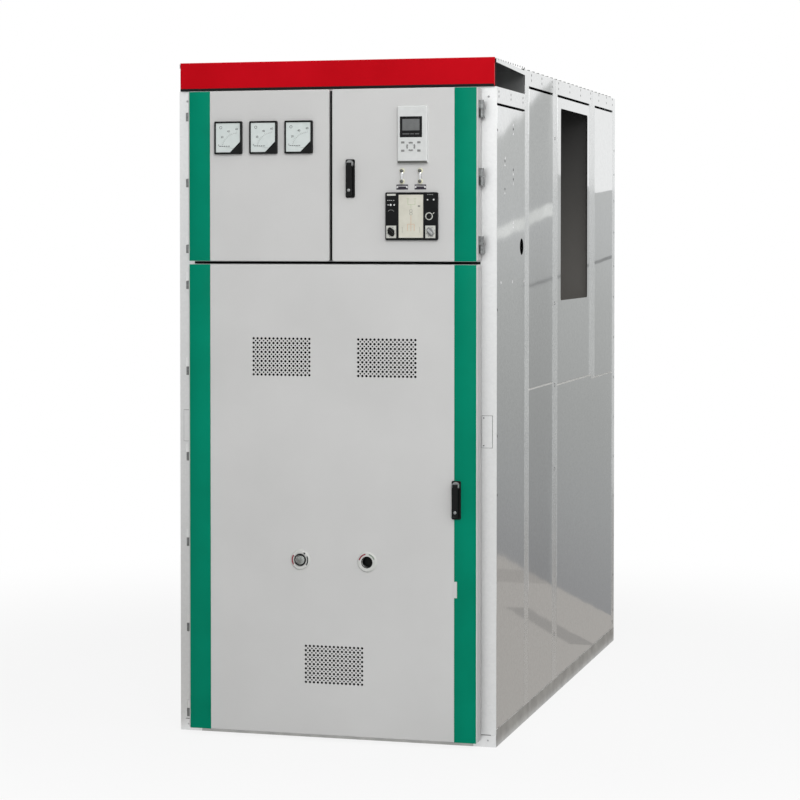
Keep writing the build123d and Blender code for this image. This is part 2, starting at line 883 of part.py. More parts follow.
with BuildPart() as relay_screen:
    with BuildSketch(front_plane(door_face - relay_depth + screen_recess)):
        with Locations((screen_x, relay_z + screen_rise)):
            Rectangle(screen_width, screen_height)
    extrude(amount=screen_recess / 2)
keep("relay_screen", relay_screen.part)

knob_places = [(left_knob_x, knob_z), (right_knob_x, knob_z)]
with BuildPart() as display_case:
    with BuildSketch(front_plane(door_face)):
        with Locations((display_x, display_z)):
            RectangleRounded(display_width, display_height, display_corner)
    extrude(amount=display_depth)
    chamfer(display_case.faces().sort_by(Axis.Y)[0].edges(), length=moulding_chamfer)
    with BuildSketch(front_plane(door_face)):
        with Locations((display_x, display_z)):
            Rectangle(*display_body)
    extrude(amount=-display_body_depth)
    with BuildSketch(front_plane(door_face - display_depth)):
        with Locations((display_x + panel_shift, display_z)):
            Rectangle(panel_width, panel_height)
    extrude(amount=-panel_recess, mode=Mode.SUBTRACT)
    with BuildSketch(front_plane(door_face - display_depth)):
        with Locations(*knob_places):
            Circle(knob_shaft_radius + knob_clearance)
    extrude(amount=-knob_shaft_length - body_clearance, mode=Mode.SUBTRACT)
keep("display_case", display_case.part)
with BuildPart() as display_panel:
    with BuildSketch(front_plane(door_face - display_depth + panel_recess)):
        with Locations((display_x + panel_shift, display_z)):
            Rectangle(panel_width, panel_height)
    extrude(amount=panel_recess / 2)
keep("display_panel", display_panel.part)
keep("left_display_knob", turn_knob(left_knob_x, knob_z))
keep("right_display_knob", turn_knob(right_knob_x, knob_z))

keep("upper_handle_base", handle_base(upper_handle_x, upper_handle_z))
keep("upper_handle_hub", handle_hub(upper_handle_x, upper_handle_z, -1))
keep("upper_handle_lever", handle_lever(upper_handle_x, upper_handle_z))

# Main door with its vents, key switch, crank hole and handle
vent_places = [
    (vent_centre_x - vent_offset, main_door_top - upper_vent_drop),
    (vent_centre_x + vent_offset, main_door_top - upper_vent_drop),
    (vent_centre_x, doors_bottom + lower_vent_rise),
]
key_switch_place = (vent_centre_x - rosette_offset, doors_bottom + rosette_rise)
crank_place = (vent_centre_x + rosette_offset, doors_bottom + rosette_rise)
main_hub_z = main_handle_z + handle_height / 2 - hub_drop
with BuildPart() as main_door:
    add(door_pan(-door_half, door_half, doors_bottom, main_door_top))
    with BuildSketch(front_plane(door_face)):
        with Locations(*vent_places):
            Rectangle(vent_length, vent_height)
        with Locations(crank_place):
            Circle(crank_hole_radius)
        with Locations((main_handle_x, main_hub_z)):
            Circle(shaft_radius + shaft_clearance)
    extrude(amount=-2 * sheet, mode=Mode.SUBTRACT)
keep("main_door", main_door.part)
with BuildPart() as main_door_strips:
    add(edge_strip(-1, doors_bottom, main_door_top))
    add(edge_strip(1, doors_bottom, main_door_top))
    with BuildSketch(front_plane(door_face)):
        with Locations((
            door_half - strip_reveal - strip_width + notch_width / 2,
            doors_bottom + notch_rise + notch_height / 2,
        )):
            Rectangle(notch_width, notch_height)
        with Locations((main_handle_x, main_handle_z)):
            Rectangle(handle_width + 2 * strip_cut, handle_height + 2 * strip_cut)
    extrude(amount=strip_thickness, mode=Mode.SUBTRACT)
keep("main_door_strips", main_door_strips.part)

# Vent grilles, flush with the door face
with BuildPart() as vent_grilles:
    with BuildSketch(front_plane(door_face + sheet)):
        with Locations(*vent_places):
            Rectangle(vent_length, vent_height)
            with GridLocations(vent_hole_pitch_x, vent_hole_pitch_z, vent_holes_across, vent_holes_up):
                RegularPolygon(vent_hole_radius, vent_hole_sides, mode=Mode.SUBTRACT)
    extrude(amount=sheet)
keep("vent_grilles", vent_grilles.part)

with BuildPart() as door_rosettes:
    with BuildSketch(front_plane(door_face)):
        with Locations(key_switch_place, crank_place):
            Circle(rosette_radius)
    extrude(amount=rosette_height)
    chamfer(door_rosettes.faces().group_by(Axis.Y)[0].edges(), length=rosette_height - rosette_seat)
    with BuildSketch(front_plane(door_face - rosette_height)):
        with Locations(key_switch_place):
            Circle(key_switch_radius)
    extrude(amount=-key_switch_recess, mode=Mode.SUBTRACT)
    with BuildSketch(front_plane(door_face - rosette_height)):
        with Locations(crank_place):
            Circle(crank_hole_radius)
    extrude(amount=-rosette_height, mode=Mode.SUBTRACT)
keep("door_rosettes", door_rosettes.part)

keep("main_handle_base", handle_base(main_handle_x, main_handle_z))
keep("main_handle_hub", handle_hub(main_handle_x, main_handle_z, 1))
keep("main_handle_lever", handle_lever(main_handle_x, main_handle_z))

for name, part in parts.items():
    export_step(part, f"parts/{name}.step")
    print(name, len(part.solids()), "solids")
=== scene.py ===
import bpy
import bmesh
from math import atan2, ceil, copysign, cos, pi, radians, sin
from mathutils import Matrix, Vector


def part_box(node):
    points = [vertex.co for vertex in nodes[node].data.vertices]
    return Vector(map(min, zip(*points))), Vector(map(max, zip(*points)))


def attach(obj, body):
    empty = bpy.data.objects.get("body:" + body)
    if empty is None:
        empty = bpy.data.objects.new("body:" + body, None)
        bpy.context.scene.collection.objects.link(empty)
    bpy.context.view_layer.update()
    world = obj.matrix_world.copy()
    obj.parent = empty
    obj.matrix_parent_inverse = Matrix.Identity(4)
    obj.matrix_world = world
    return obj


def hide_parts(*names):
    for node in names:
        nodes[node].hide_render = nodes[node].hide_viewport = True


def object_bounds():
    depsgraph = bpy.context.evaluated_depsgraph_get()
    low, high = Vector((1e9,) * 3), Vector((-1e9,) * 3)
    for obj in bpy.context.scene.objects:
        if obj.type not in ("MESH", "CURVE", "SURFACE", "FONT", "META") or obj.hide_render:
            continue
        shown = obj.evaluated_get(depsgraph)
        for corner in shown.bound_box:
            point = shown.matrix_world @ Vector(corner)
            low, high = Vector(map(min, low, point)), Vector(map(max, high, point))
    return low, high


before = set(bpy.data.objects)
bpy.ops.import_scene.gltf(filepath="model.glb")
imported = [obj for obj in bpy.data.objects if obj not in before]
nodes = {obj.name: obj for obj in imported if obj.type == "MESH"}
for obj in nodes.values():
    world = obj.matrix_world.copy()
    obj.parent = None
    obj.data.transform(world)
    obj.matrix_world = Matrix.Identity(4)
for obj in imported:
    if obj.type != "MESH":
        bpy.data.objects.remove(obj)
cadLow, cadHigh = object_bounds()
mm = 0.001
glue = 0.2   # what is stuck on sinks this far, in mm, into what carries it


# Small helpers shared by all pieces; the pieces are drawn in mm

def boxMm(node):
    low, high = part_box(node)
    return low / mm, high / mm


def middle(low, high):
    return (low + high) / 2


def startMesh():
    return bmesh.new()


def startMeshes(count):
    return [startMesh() for _ in range(count)]


def vertsOf(made):
    return [item for item in made["geom"] if isinstance(item, bmesh.types.BMVert)]


def addBlock(bm, low, high, bevel=0, segments=1):
    # a rectangular block between two corners, its edges bevelled
    low, high = Vector(low), Vector(high)
    place = Matrix.Translation((low + high) / 2) @ Matrix.Diagonal((*(high - low), 1))
    made = bmesh.ops.create_cube(bm, size=1, matrix=place)["verts"]
    if bevel:
        edges = list({edge for vert in made for edge in vert.link_edges})
        bmesh.ops.bevel(bm, geom=edges, offset=bevel, offset_type="OFFSET", segments=segments,
                        profile=0.5, affect="EDGES", clamp_overlap=True, material=-1)


def addPlate(bm, centre, size, depth, bevel=0, segments=1):
    # a block by the middle and the size of its front and by where it starts and ends in y
    (x, z), (width, height), (front, back) = centre, size, depth
    addBlock(bm, (x - width / 2, front, z - height / 2), (x + width / 2, back, z + height / 2),
             bevel, segments)


def addSideBlock(bm, side, across, along, up, bevel=0):
    # a block on one side of the cabinet; across counts outwards from the middle plane
    low, high = sorted(side * x for x in across)
    addBlock(bm, (low, along[0], up[0]), (high, along[1], up[1]), bevel)


turns = {
    "front": Matrix.Rotation(radians(90), 4, "X"),   # the axis points at the viewer, -Y
    "right": Matrix.Rotation(radians(90), 4, "Y"),   # along +X
    "left": Matrix.Rotation(radians(-90), 4, "Y"),   # along -X
    "up": Matrix.Identity(4),
}


def addRound(bm, centre, radius, height, facing="front", sides=24, tip=None, bevel=0):
    # a round or many-sided boss that stands on centre and points where it faces
    tip = radius if tip is None else tip
    place = (Matrix.Translation(Vector(centre)) @ turns[facing]
             @ Matrix.Translation((0, 0, height / 2)))
    made = bmesh.ops.create_cone(bm, cap_ends=True, segments=sides, radius1=radius, radius2=tip,
                                 depth=height, matrix=place)["verts"]
    if bevel:
        outer = place @ Vector((0, 0, height / 2))
        normal = (place.to_3x3() @ Vector((0, 0, 1))).normalized()
        rim = [edge for edge in {e for v in made for e in v.link_edges}
               if all(abs((vert.co - outer).dot(normal)) < height * 0.01 for vert in edge.verts)]
        bmesh.ops.bevel(bm, geom=rim, offset=bevel, offset_type="OFFSET", segments=2,
                        profile=0.5, affect="EDGES", clamp_overlap=True, material=-1)


def addRing(bm, centre, outer, inner, height, sides=32, start=0, end=360):
    # a flat ring, or a part of one, that faces the viewer: one edge spun, then thickened
    place = Matrix.Translation(Vector(centre)) @ turns["front"]
    steps = max(2, ceil(sides * (end - start) / 360))
    line = [bm.verts.new((radius * cos(radians(start)), radius * sin(radians(start)), 0))
            for radius in (inner, outer)]
    edge = bm.edges.new(line)
    before = set(bm.verts) - set(line)
    bmesh.ops.spin(bm, geom=[edge, *line], cent=(0, 0, 0), axis=(0, 0, 1), steps=steps,
                   angle=radians(end - start), use_merge=end - start >= 360, use_duplicate=False)
    flat = [vert for vert in bm.verts if vert not in before]
    faces = list({face for vert in flat for face in vert.link_faces})
    top = vertsOf(bmesh.ops.extrude_face_region(bm, geom=faces, use_keep_orig=True))
    bmesh.ops.translate(bm, verts=top, vec=(0, 0, height))
    whole = list(set(flat) | set(top))
    faces = list({face for vert in whole for face in vert.link_faces})
    bmesh.ops.recalc_face_normals(bm, faces=faces)
    bmesh.ops.transform(bm, matrix=place, verts=whole)


def addStroke(bm, start, end, width, low, high):
    # a thin straight bar in the door's plane from start to end, given as x and z
    start, end = Vector(start), Vector(end)
    run = end - start
    place = (Matrix.Translation(((start.x + end.x) / 2, (low + high) / 2, (start.y + end.y) / 2))
             @ Matrix.Rotation(-atan2(run.y, run.x), 4, "Y")
             @ Matrix.Diagonal((run.length, high - low, width, 1)))
    bmesh.ops.create_cube(bm, size=1, matrix=place)


def addPart(bm, part):
    # joins a finished mesh to the piece it belongs to
    mesh = bpy.data.meshes.new("joined")
    part.to_mesh(mesh)
    part.free()
    bm.from_mesh(mesh)
    bpy.data.meshes.remove(mesh)


def addLettering(bm, words, place, height, depth):
    # plain numbers that stand upright and face the viewer
    curve = bpy.data.curves.new("number", "FONT")
    curve.body = words
    curve.size = height
    curve.extrude = depth / 2
    curve.align_x = curve.align_y = "CENTER"
    holder = bpy.data.objects.new("number", curve)
    bpy.context.scene.collection.objects.link(holder)
    bpy.context.view_layer.update()
    mesh = bpy.data.meshes.new_from_object(holder)
    mesh.transform(Matrix.Translation(Vector(place)) @ turns["front"])
    bm.from_mesh(mesh)
    bpy.data.meshes.remove(mesh)
    bpy.data.objects.remove(holder)
    bpy.data.curves.remove(curve)


def newObject(name, bm):
    # the mesh as an object of the scene
    mesh = bpy.data.meshes.new(name)
    bm.to_mesh(mesh)
    bm.free()
    made = bpy.data.objects.new(name, mesh)
    bpy.context.scene.collection.objects.link(made)
    return made


def finishPiece(bm, name, material, body, replaced=()):
    # the finished mesh as an object at the origin that rides on its body
    bmesh.ops.scale(bm, vec=(mm, mm, mm), verts=bm.verts)
    piece = newObject(name, bm)
    piece.data.shade_smooth()
    piece.data.set_sharp_from_angle(angle=radians(30))
    piece.data.materials.append(material)
    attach(piece, body)
    if replaced:
        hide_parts(*replaced)
    return piece


def finishPieces(body, rows):
    # several pieces on one body, each with its mesh, name, finish and slot; the slot is not used
    for bm, name, finish, slot in rows:
        finishPiece(bm, name, finish, body)


def linear(hexColour):
    # an sRGB hex colour as the linear values that a shader wants
    values = [int(hexColour[place:place + 2], 16) / 255 for place in (1, 3, 5)]
    return (*[v / 12.92 if v <= 0.04045 else ((v + 0.055) / 1.055) ** 2.4 for v in values], 1)


def addNode(tree, kind, settings=None, links=None):
    # one shader node with its settings and what feeds it
    node = tree.nodes.new("ShaderNode" + kind)
    for key, value in (settings or {}).items():
        if isinstance(key, int) or key in node.inputs.keys():
            node.inputs[key].default_value = value
        else:
            setattr(node, key, value)
    for key, source in (links or {}).items():
        tree.links.new(source, node.inputs[key])
    return node


def addMath(tree, operation, *sources):
    # one step of arithmetic on outputs
    return addNode(tree, "Math", {"operation": operation}, dict(enumerate(sources))).outputs[0]


def addRange(tree, source, settings):
    # maps an output from one range of values to another
    return addNode(tree, "MapRange", settings, {"Value": source}).outputs["Result"]


def newTree(name):
    # a material with an empty node tree
    material = bpy.data.materials.new(name)
    material.use_nodes = True
    material.node_tree.nodes.clear()
    return material, material.node_tree


def newFinish(name, values):
    # a material with its output, its shader and the object's own coordinates
    material, tree = newTree(name)
    shader = addNode(tree, "BsdfPrincipled", values)
    addNode(tree, "OutputMaterial", links={"Surface": shader.outputs["BSDF"]})
    place = addNode(tree, "TexCoord").outputs["Object"]
    return material, tree, shader, place


def addNoise(tree, place, grain, detail=3):
    # noise whose blotches are about grain mm wide
    return addNode(tree, "TexNoise", {"Scale": 1 / (grain * mm), "Detail": detail},
                   {"Vector": place}).outputs["Fac"]


def tintBy(tree, shader, source, tones, stops=(0.3, 0.7)):
    # the colour runs from the first tone to the second as the source grows
    ramp = addNode(tree, "ValToRGB", links={"Fac": source})
    for stop, place, tone in zip(ramp.color_ramp.elements, stops, tones):
        stop.position = place
        stop.color = linear(tone)
    tree.links.new(ramp.outputs["Color"], shader.inputs["Base Color"])
    return ramp


def roughBy(tree, shader, source, rough):
    # roughness between two values as the source grows
    spread = addRange(tree, source, {"To Min": rough[0], "To Max": rough[1]})
    tree.links.new(spread, shader.inputs["Roughness"])


def dimBy(tree, shader, ramp, axis, share):
    # painted shade: faces that look along the axis keep only that share of the colour
    normal = addNode(tree, "TexCoord").outputs["Normal"]
    part = addNode(tree, "SeparateXYZ", links={"Vector": normal}).outputs[axis]
    shade = addRange(tree, addMath(tree, "ABSOLUTE", part), {"To Min": 1.0, "To Max": share})
    dim = addNode(tree, "VectorMath", {"operation": "SCALE"}, {
        "Vector": ramp.outputs["Color"], "Scale": shade})
    tree.links.new(dim.outputs["Vector"], shader.inputs["Base Color"])


def bumpBy(tree, shader, place, grain, height, detail=2):
    # relief of that height and about that grain, both in mm
    bump = addNode(tree, "Bump", {"Distance": height * mm, "Strength": 1.0},
                   {"Height": addNoise(tree, place, grain, detail)})
    tree.links.new(bump.outputs["Normal"], shader.inputs["Normal"])


def blotchedFinish(name, values, tones, rough, cloud, detail=3):
    # colour and roughness follow soft blotches about cloud mm wide
    material, tree, shader, place = newFinish(name, values)
    noise = addNoise(tree, place, cloud, detail)
    ramp = tintBy(tree, shader, noise, tones)
    roughBy(tree, shader, noise, rough)
    return material, tree, shader, place, ramp


# Finishes, named for what the real cabinet is made of

def powderCoat(name, tones, rough, shine, cloud, edgeShade):
    # powder coated steel: even colour, satin, with the fine dimples of orange peel, and
    # with painted shade on the folded edges, where less light falls; real peel is
    # about 1.5 mm wide and is drawn at 4 mm so that it shows at all
    peel, relief = 4, 0.02
    material, tree, shader, place, ramp = blotchedFinish(
        name, {"IOR": 1.5, "Specular IOR Level": shine}, tones, rough, cloud)
    dimBy(tree, shader, ramp, "X", edgeShade)
    bumpBy(tree, shader, place, peel, relief, detail=1)
    return material


doorPaint = powderCoat("powder_coat_light_grey", ("#C9C9C8", "#CECECD"), rough=(0.39, 0.45),
                       shine=0.2, cloud=350, edgeShade=0.74)
stripPaint = powderCoat("powder_coat_green", ("#007D61", "#00876A"), rough=(0.42, 0.48),
                        shine=0.04, cloud=250, edgeShade=0.8)
headerPaint = powderCoat("powder_coat_signal_red", ("#B80614", "#C40919"), rough=(0.35, 0.41),
                         shine=0.04, cloud=300, edgeShade=1.0)


def alloyCoatedSheet(name, tones, rough, cloud, wave, dent):
    # steel sheet with an aluminium-zinc coat: bright, slightly wavy mirror with a fine
    # frosty spangle and faint rolling lines along the sheet
    spangle = 9   # mm across
    material, tree, shader, place = newFinish(name, {"Metallic": 1.0})
    cells = addNode(tree, "TexVoronoi", {"Scale": 1 / (spangle * mm)}, {"Vector": place})
    grey = addNode(tree, "SeparateColor", links={"Color": cells.outputs["Color"]})
    tintBy(tree, shader, grey.outputs["Red"], tones, (0, 1))
    roughBy(tree, shader, addNoise(tree, place, cloud, detail=4), rough)
    bumpBy(tree, shader, place, wave, dent, detail=1)
    return material


bareSheet = alloyCoatedSheet("aluminium_zinc_sheet", ("#D4D6D6", "#DDDFDF"), rough=(0.035, 0.07),
                             cloud=260, wave=420, dent=1.4)
seamSheet = alloyCoatedSheet("aluminium_zinc_folded_post", ("#D6D8D8", "#E2E4E4"),
                             rough=(0.2, 0.3), cloud=200, wave=500, dent=0.8)
frameSheet = alloyCoatedSheet("aluminium_zinc_front_post", ("#D8D9D9", "#DCDDDD"),
                              rough=(0.4, 0.46), cloud=200, wave=500, dent=0.2)


def zincedSteel(name, tones, rough, cloud, grain, relief):
    # plated or galvanised metal: grey, fairly dull, with darker blotches
    material, tree, shader, place, _ = blotchedFinish(name, {"Metallic": 1.0}, tones, rough,
                                                      cloud, detail=5)
    bumpBy(tree, shader, place, grain, relief)
    return material


# name, dark and light tone, roughness, width of the blotches, grain and its depth in mm
baseSteel = zincedSteel("galvanised_base_steel", ("#9C9C9A", "#B6B6B3"), (0.35, 0.55), 60, 5, 0.1)
hingeZinc = zincedSteel("zinc_die_cast_hinge", ("#606262", "#868888"), (0.3, 0.45), 12, 2, 0.05)
screwZinc = zincedSteel("zinc_plated_screw", ("#8E9090", "#C2C4C4"), (0.25, 0.4), 5, 1, 0.02)
chromePlate = zincedSteel("nickel_chrome_plate", ("#CFD1D2", "#E4E6E7"), (0.08, 0.16), 10, 2, 0.01)
satinZinc = zincedSteel("satin_die_cast_handle", ("#7C7E7E", "#969898"), (0.34, 0.46), 8, 2, 0.02)
satinNickel = zincedSteel("worn_nickel_lock", ("#8B8F8C", "#A6AAA7"), (0.2, 0.32), 9, 2, 0.02)
darkScrew = zincedSteel("blackened_screw", ("#4A4B4A", "#6E706E"), (0.3, 0.45), 3, 1, 0.02)


def mouldedPlastic(name, tones, rough, cloud, relief=0.02, shine=0.2):
    # moulded plastic, rubber or lacquer: fine grain, so a soft broad sheen
    grain, spread = 1.2, 0.04
    material, tree, shader, place, _ = blotchedFinish(
        name, {"IOR": 1.53, "Specular IOR Level": shine}, tones, (rough - spread, rough + spread),
        cloud)
    bumpBy(tree, shader, place, grain, relief)
    return material


# name, dark and light tone, roughness, width of the blotches and depth of the grain in mm
blackPlastic = mouldedPlastic("abs_black", ("#0D0E0E", "#131414"), 0.38, 20, 0.03, shine=0.12)
darkPlastic = mouldedPlastic("polycarbonate_charcoal", ("#0E0F10", "#141516"), 0.36, 30, shine=0.1)
whitePlastic = mouldedPlastic("abs_white", ("#CFD1D0", "#D5D7D6"), 0.4, 30)
greyPlastic = mouldedPlastic("abs_light_grey", ("#A8AAAA", "#B4B6B6"), 0.42, 20)
rosettePlastic = mouldedPlastic("abs_pale_grey", ("#C6C7C4", "#CCCDCA"), 0.42, 30)
dialRim = mouldedPlastic("dial_rim_white", ("#F8FAF9", "#FCFDFC"), 0.35, 30, 0.01)
ivoryPlastic = mouldedPlastic("melamine_ivory", ("#DAD9BC", "#E6E5CC"), 0.35, 10, 0.01)
keyRubber = mouldedPlastic("silicone_key_grey", ("#7E7F7E", "#8A8B8A"), 0.55, 12)
relayLip = mouldedPlastic("abs_foot_grey", ("#50514E", "#5A5B58"), 0.5, 20)
labelPlastic = mouldedPlastic("engraving_laminate_black", ("#2A2630", "#322E38"), 0.4, 20, 0.01)
labelWhite = mouldedPlastic("engraved_white_core", ("#D5D6D6", "#DDDEDE"), 0.5, 10, 0.01)
scalePlate = mouldedPlastic("anodised_scale_plate", ("#BDBEB8", "#CBCCC6"), 0.4, 15)
lampLens = mouldedPlastic("lamp_lens_clear", ("#D9DADA", "#E6E7E7"), 0.15, 10, 0.01)
# dark grey sheet behind and under the header and at the trough's rear: painted shade
troughShadeLining = mouldedPlastic("primed_sheet_painted_shade", ("#5C5D5D", "#646565"), 0.6, 60)
# black rubber for the filter mats and joints, also used for the black strips of painted shade and
# shadow in the gaps and under the header
rubberAndPaintedShade = mouldedPlastic("black_rubber_and_painted_shade", ("#0C0C0C", "#121212"), 0.8, 20)
# flat discs in the sheet whose dark or grey colour is the painted shade inside punched holes
holeShade = mouldedPlastic("open_hole_painted_shade", ("#343535", "#404141"), 0.9, 40, 0.01)
holeGreyShade = mouldedPlastic("shallow_hole_painted_shade", ("#6A6B6B", "#767777"), 0.9, 40, 0.01)
# pale lines at the panel joints and over the base rails: painted highlight of the sheet edges
jointPaintedHighlight = mouldedPlastic("joint_painted_highlight", ("#C4C4C1", "#CDCDCA"), 0.6, 60)
# near-white rivet heads: painted highlight
rivetPaintedHighlight = mouldedPlastic("rivet_painted_highlight", ("#EDEEEE", "#F6F7F7"), 0.4, 6, 0.01)


def printInk(name, *tones):
    # screen printed ink: matt, a little uneven where the screen left it thinner
    return mouldedPlastic(name, tones, 0.6, 4, 0.01)


blackInk = printInk("dial_ink_black", "#1E2020", "#2B2D2D")
greyInk = printInk("dial_ink_grey", "#989E9C", "#A4AAA8")
mimicInkGreen = printInk("mimic_ink_green", "#AEBB98", "#B7C2A4")
mimicInkOrange = printInk("mimic_ink_orange", "#CCA683", "#D4B08E")
mimicInkGrey = printInk("mimic_ink_grey", "#84857D", "#8F9088")
arcRed = printInk("rosette_ink_red", "#7E2A38", "#8E3440")
arcDark = printInk("rosette_ink_dark", "#2E3334", "#3A3F40")
arcGreen = printInk("rosette_ink_green", "#828E82", "#8E9A8E")


def printedFace(name, tones, rough, coat, cloud):
    # printed or enamelled face behind glass: flat colour under a clear glossy coat
    spread = 0.05
    values = {"IOR": 1.5, "Specular IOR Level": 0.15, "Coat Weight": coat, "Coat Roughness": 0.05}
    return blotchedFinish(name, values, tones, (rough - spread, rough + spread), cloud)[0]


dialWhite = printedFace("enamelled_dial", ("#CDD5D3", "#D4DBD9"), 0.5, coat=0.2, cloud=25)
screenGlass = printedFace("lcd_bezel_glass", ("#08090A", "#0E0F10"), 0.3, coat=0.06, cloud=25)
mimicFilm = printedFace("printed_mimic_film", ("#CAC8BB", "#D5D3C7"), 0.45, coat=0.2, cloud=40)
lcdGrey = printedFace("lcd_unlit", ("#686A6A", "#707272"), 0.3, coat=0.1, cloud=20)


def darkRoom(name, tones, low, high, frontShade):
    # galvanised inner sheet in the unlit rooms behind the openings: dull grey, with painted shade
    # that darkens it upwards, and more painted shade on the walls that face the front and catch
    # more light
    material, tree, shader, place = newFinish(name, {"Roughness": 0.6, "IOR": 1.5,
                                                     "Specular IOR Level": 0.2})
    height = addNode(tree, "SeparateXYZ", links={"Vector": place}).outputs["Z"]
    level = addRange(tree, height, {"From Min": low * mm, "From Max": high * mm})
    ramp = tintBy(tree, shader, level, tones, (0, 1))
    dimBy(tree, shader, ramp, "Y", frontShade)
    return material


innerSheetPaintedShade = darkRoom("inner_sheet_painted_shade", ("#989590", "#474747"), low=1600, high=2500,
                      frontShade=0.45)
print("finishes made")

# CAD nodes that keep their shape get their finish
nodeFinishes = (
    (baseSteel, "base_rails base_crossbeams floor_plate"),
    (frameSheet, "left_front_post right_front_post front_crossrails post_covers "
                 "left_upper_door_hinges main_door_hinges"),
    (headerPaint, "header_panel"),
    (bareSheet, "front_roof_panel trough_cover roof_panels left_side_panels right_side_panels "
                "left_window_panel right_window_panel rear_covers"),
    (seamSheet, "left_seam_posts right_seam_posts"),
    (innerSheetPaintedShade, "inner_walls"),
    (hingeZinc, "post_hinges right_upper_door_hinges"),
    (doorPaint, "left_upper_door right_upper_door main_door vent_grilles"),
    (stripPaint, "left_upper_door_strip right_upper_door_strip main_door_strips"),
    (blackPlastic, "meter_cases upper_handle_base upper_handle_lever main_handle_base "
                   "main_handle_lever left_display_knob"),
    (greyPlastic, "right_display_knob"), (dialWhite, "meter_dials"), (whitePlastic, "relay_case"),
    (screenGlass, "relay_screen"), (darkPlastic, "display_case"), (mimicFilm, "display_panel"),
    (satinZinc, "upper_handle_hub main_handle_hub"), (rosettePlastic, "door_rosettes"),
)
for finish, names in nodeFinishes:
    for node in names.split():
        materials = nodes[node].data.materials
        materials.clear()
        materials.append(finish)

# Where the main faces lie, read from the frame
doorLow, doorHigh = boxMm("main_door")
doorFace = doorLow.y
sideFace = boxMm("right_side_panels")[1].x
postFace = boxMm("right_front_post")[0].y

# Vent grilles: the full pattern of two interleaved sets of round holes in each
vent = {
    "across": 15, "up": 9,            # main holes; the set between them has one less each way
    "pitchX": 16.05, "pitchZ": 17.4, "size": (242, 150),
    "mainRadius": 5.0, "smallRadius": 3.4, "sides": 12, "margin": 0.2,
    "matGap": 4, "matDepth": 3, "matOver": 8,   # the dark filter mat behind each grille
}


def addPerforatedCell(bm, x, z, radius, settings):
    # a diamond with a round hole: a circle whose edges are pulled out to the diamond
    ring = bmesh.ops.create_circle(bm, cap_ends=False, segments=settings["sides"],
                                   radius=radius)["verts"]
    edges = list({edge for vert in ring for edge in vert.link_edges})
    outer = vertsOf(bmesh.ops.extrude_edge_only(bm, edges=edges))
    for vert in outer:
        share = atan2(abs(vert.co.y), abs(vert.co.x)) / (pi / 2)
        vert.co = (copysign(settings["pitchX"] / 2 * (1 - share), vert.co.x),
                   copysign(settings["pitchZ"] / 2 * share, vert.co.y), 0)
    bmesh.ops.translate(bm, verts=ring + outer, vec=(x, z, 0))


def isOnCellEdge(vert, settings):
    # the diamonds' edges lie where the sum or the difference of the half pitches is odd
    across = vert.co.x / settings["pitchX"] * 2
    up = vert.co.y / settings["pitchZ"] * 2
    return any(abs(value % 2 - 1) < 0.01 for value in (across + up, across - up))


def addVent(bm, centre, front, depth, settings):
    plate = startMesh()
    (x, z), (width, height) = centre, settings["size"]
    rows = 2 * settings["up"] - 1
    for row in range(rows):
        small = row % 2
        count = settings["across"] - small
        radius = settings["smallRadius"] if small else settings["mainRadius"]
        up = (row - (rows - 1) / 2) * settings["pitchZ"] / 2
        for column in range(count):
            addPerforatedCell(plate, (column - (count - 1) / 2) * settings["pitchX"], up, radius,
                              settings)
    bmesh.ops.remove_doubles(plate, verts=plate.verts, dist=0.01)
    outline = [edge for edge in plate.edges if edge.is_boundary
               and all(isOnCellEdge(vert, settings) for vert in edge.verts)]
    reach = height / 2 - settings["margin"]
    for vert in plate.verts:
        vert.co.y = max(-reach, min(reach, vert.co.y))
    corners = [plate.verts.new((right * width / 2, up * height / 2, 0))
               for right, up in ((-1, -1), (1, -1), (1, 1), (-1, 1))]
    outline += [plate.edges.new((corners[step - 1], corners[step])) for step in range(4)]
    bmesh.ops.triangle_fill(plate, use_beauty=True, use_dissolve=False, edges=outline)
    bmesh.ops.recalc_face_normals(plate, faces=plate.faces)
    bmesh.ops.solidify(plate, geom=plate.faces[:], thickness=depth)
    bmesh.ops.transform(plate, verts=plate.verts,
                        matrix=Matrix.Translation((x, front, z)) @ turns["front"])
    # the plate is set so that its face is flush with the door's
    shift = front - min(vert.co.y for vert in plate.verts)
    bmesh.ops.translate(plate, verts=plate.verts, vec=(0, shift, 0))
    bmesh.ops.recalc_face_normals(plate, faces=plate.faces)
    addPart(bm, plate)


ventLow, ventHigh = boxMm("vent_grilles")
ventWidth, ventHeight = vent["size"]
vents, filters = startMeshes(2)
matFront = ventHigh.y + vent["matGap"]
for x, z in ((ventLow.x + ventWidth / 2, ventHigh.z - ventHeight / 2),
             (ventHigh.x - ventWidth / 2, ventHigh.z - ventHeight / 2),
             (middle(ventLow.x, ventHigh.x), ventLow.z + ventHeight / 2)):
    addVent(vents, (x, z), ventLow.y, ventHigh.y - ventLow.y, vent)
    addPlate(filters, (x, z), [size + vent["matOver"] for size in vent["size"]],
             (matFront, matFront + vent["matDepth"]), 0.5)
finishPiece(vents, "perforated_vents", doorPaint, "main_door", ["vent_grilles"])
finishPiece(filters, "vent_filter_mats", rubberAndPaintedShade, "main_door")
print("vents made")

# Meters: white dial with a bevelled rim, scale, plain numbers and a needle at rest
meter = {
    "width": 112, "front": 1.2, "thick": 1.2, "rim": 7, "cut": 40, "band": 4.5, "dip": 0.8,
    "ink": 0.3, "pivot": (38, -45), "radius": 62, "line": 0.35, "arc": (92, 168), "steps": 12,
    "long": 7, "short": 4, "tickWidth": 1.0, "numbers": (60, 40, 20, 0), "numberRadius": 78,
    "numberHeight": 11, "zeroShare": 0.8, "needle": 60, "tail": (-14, 3), "needleWidth": 0.9,
    "needleRise": (0.8, 0.3), "symbol": (5.5, 4.2),
    "class": (5, 9, 6, 2.4),   # count, pitch, length and width of the class marks at the foot
}
meterLow, meterHigh = boxMm("meter_cases")


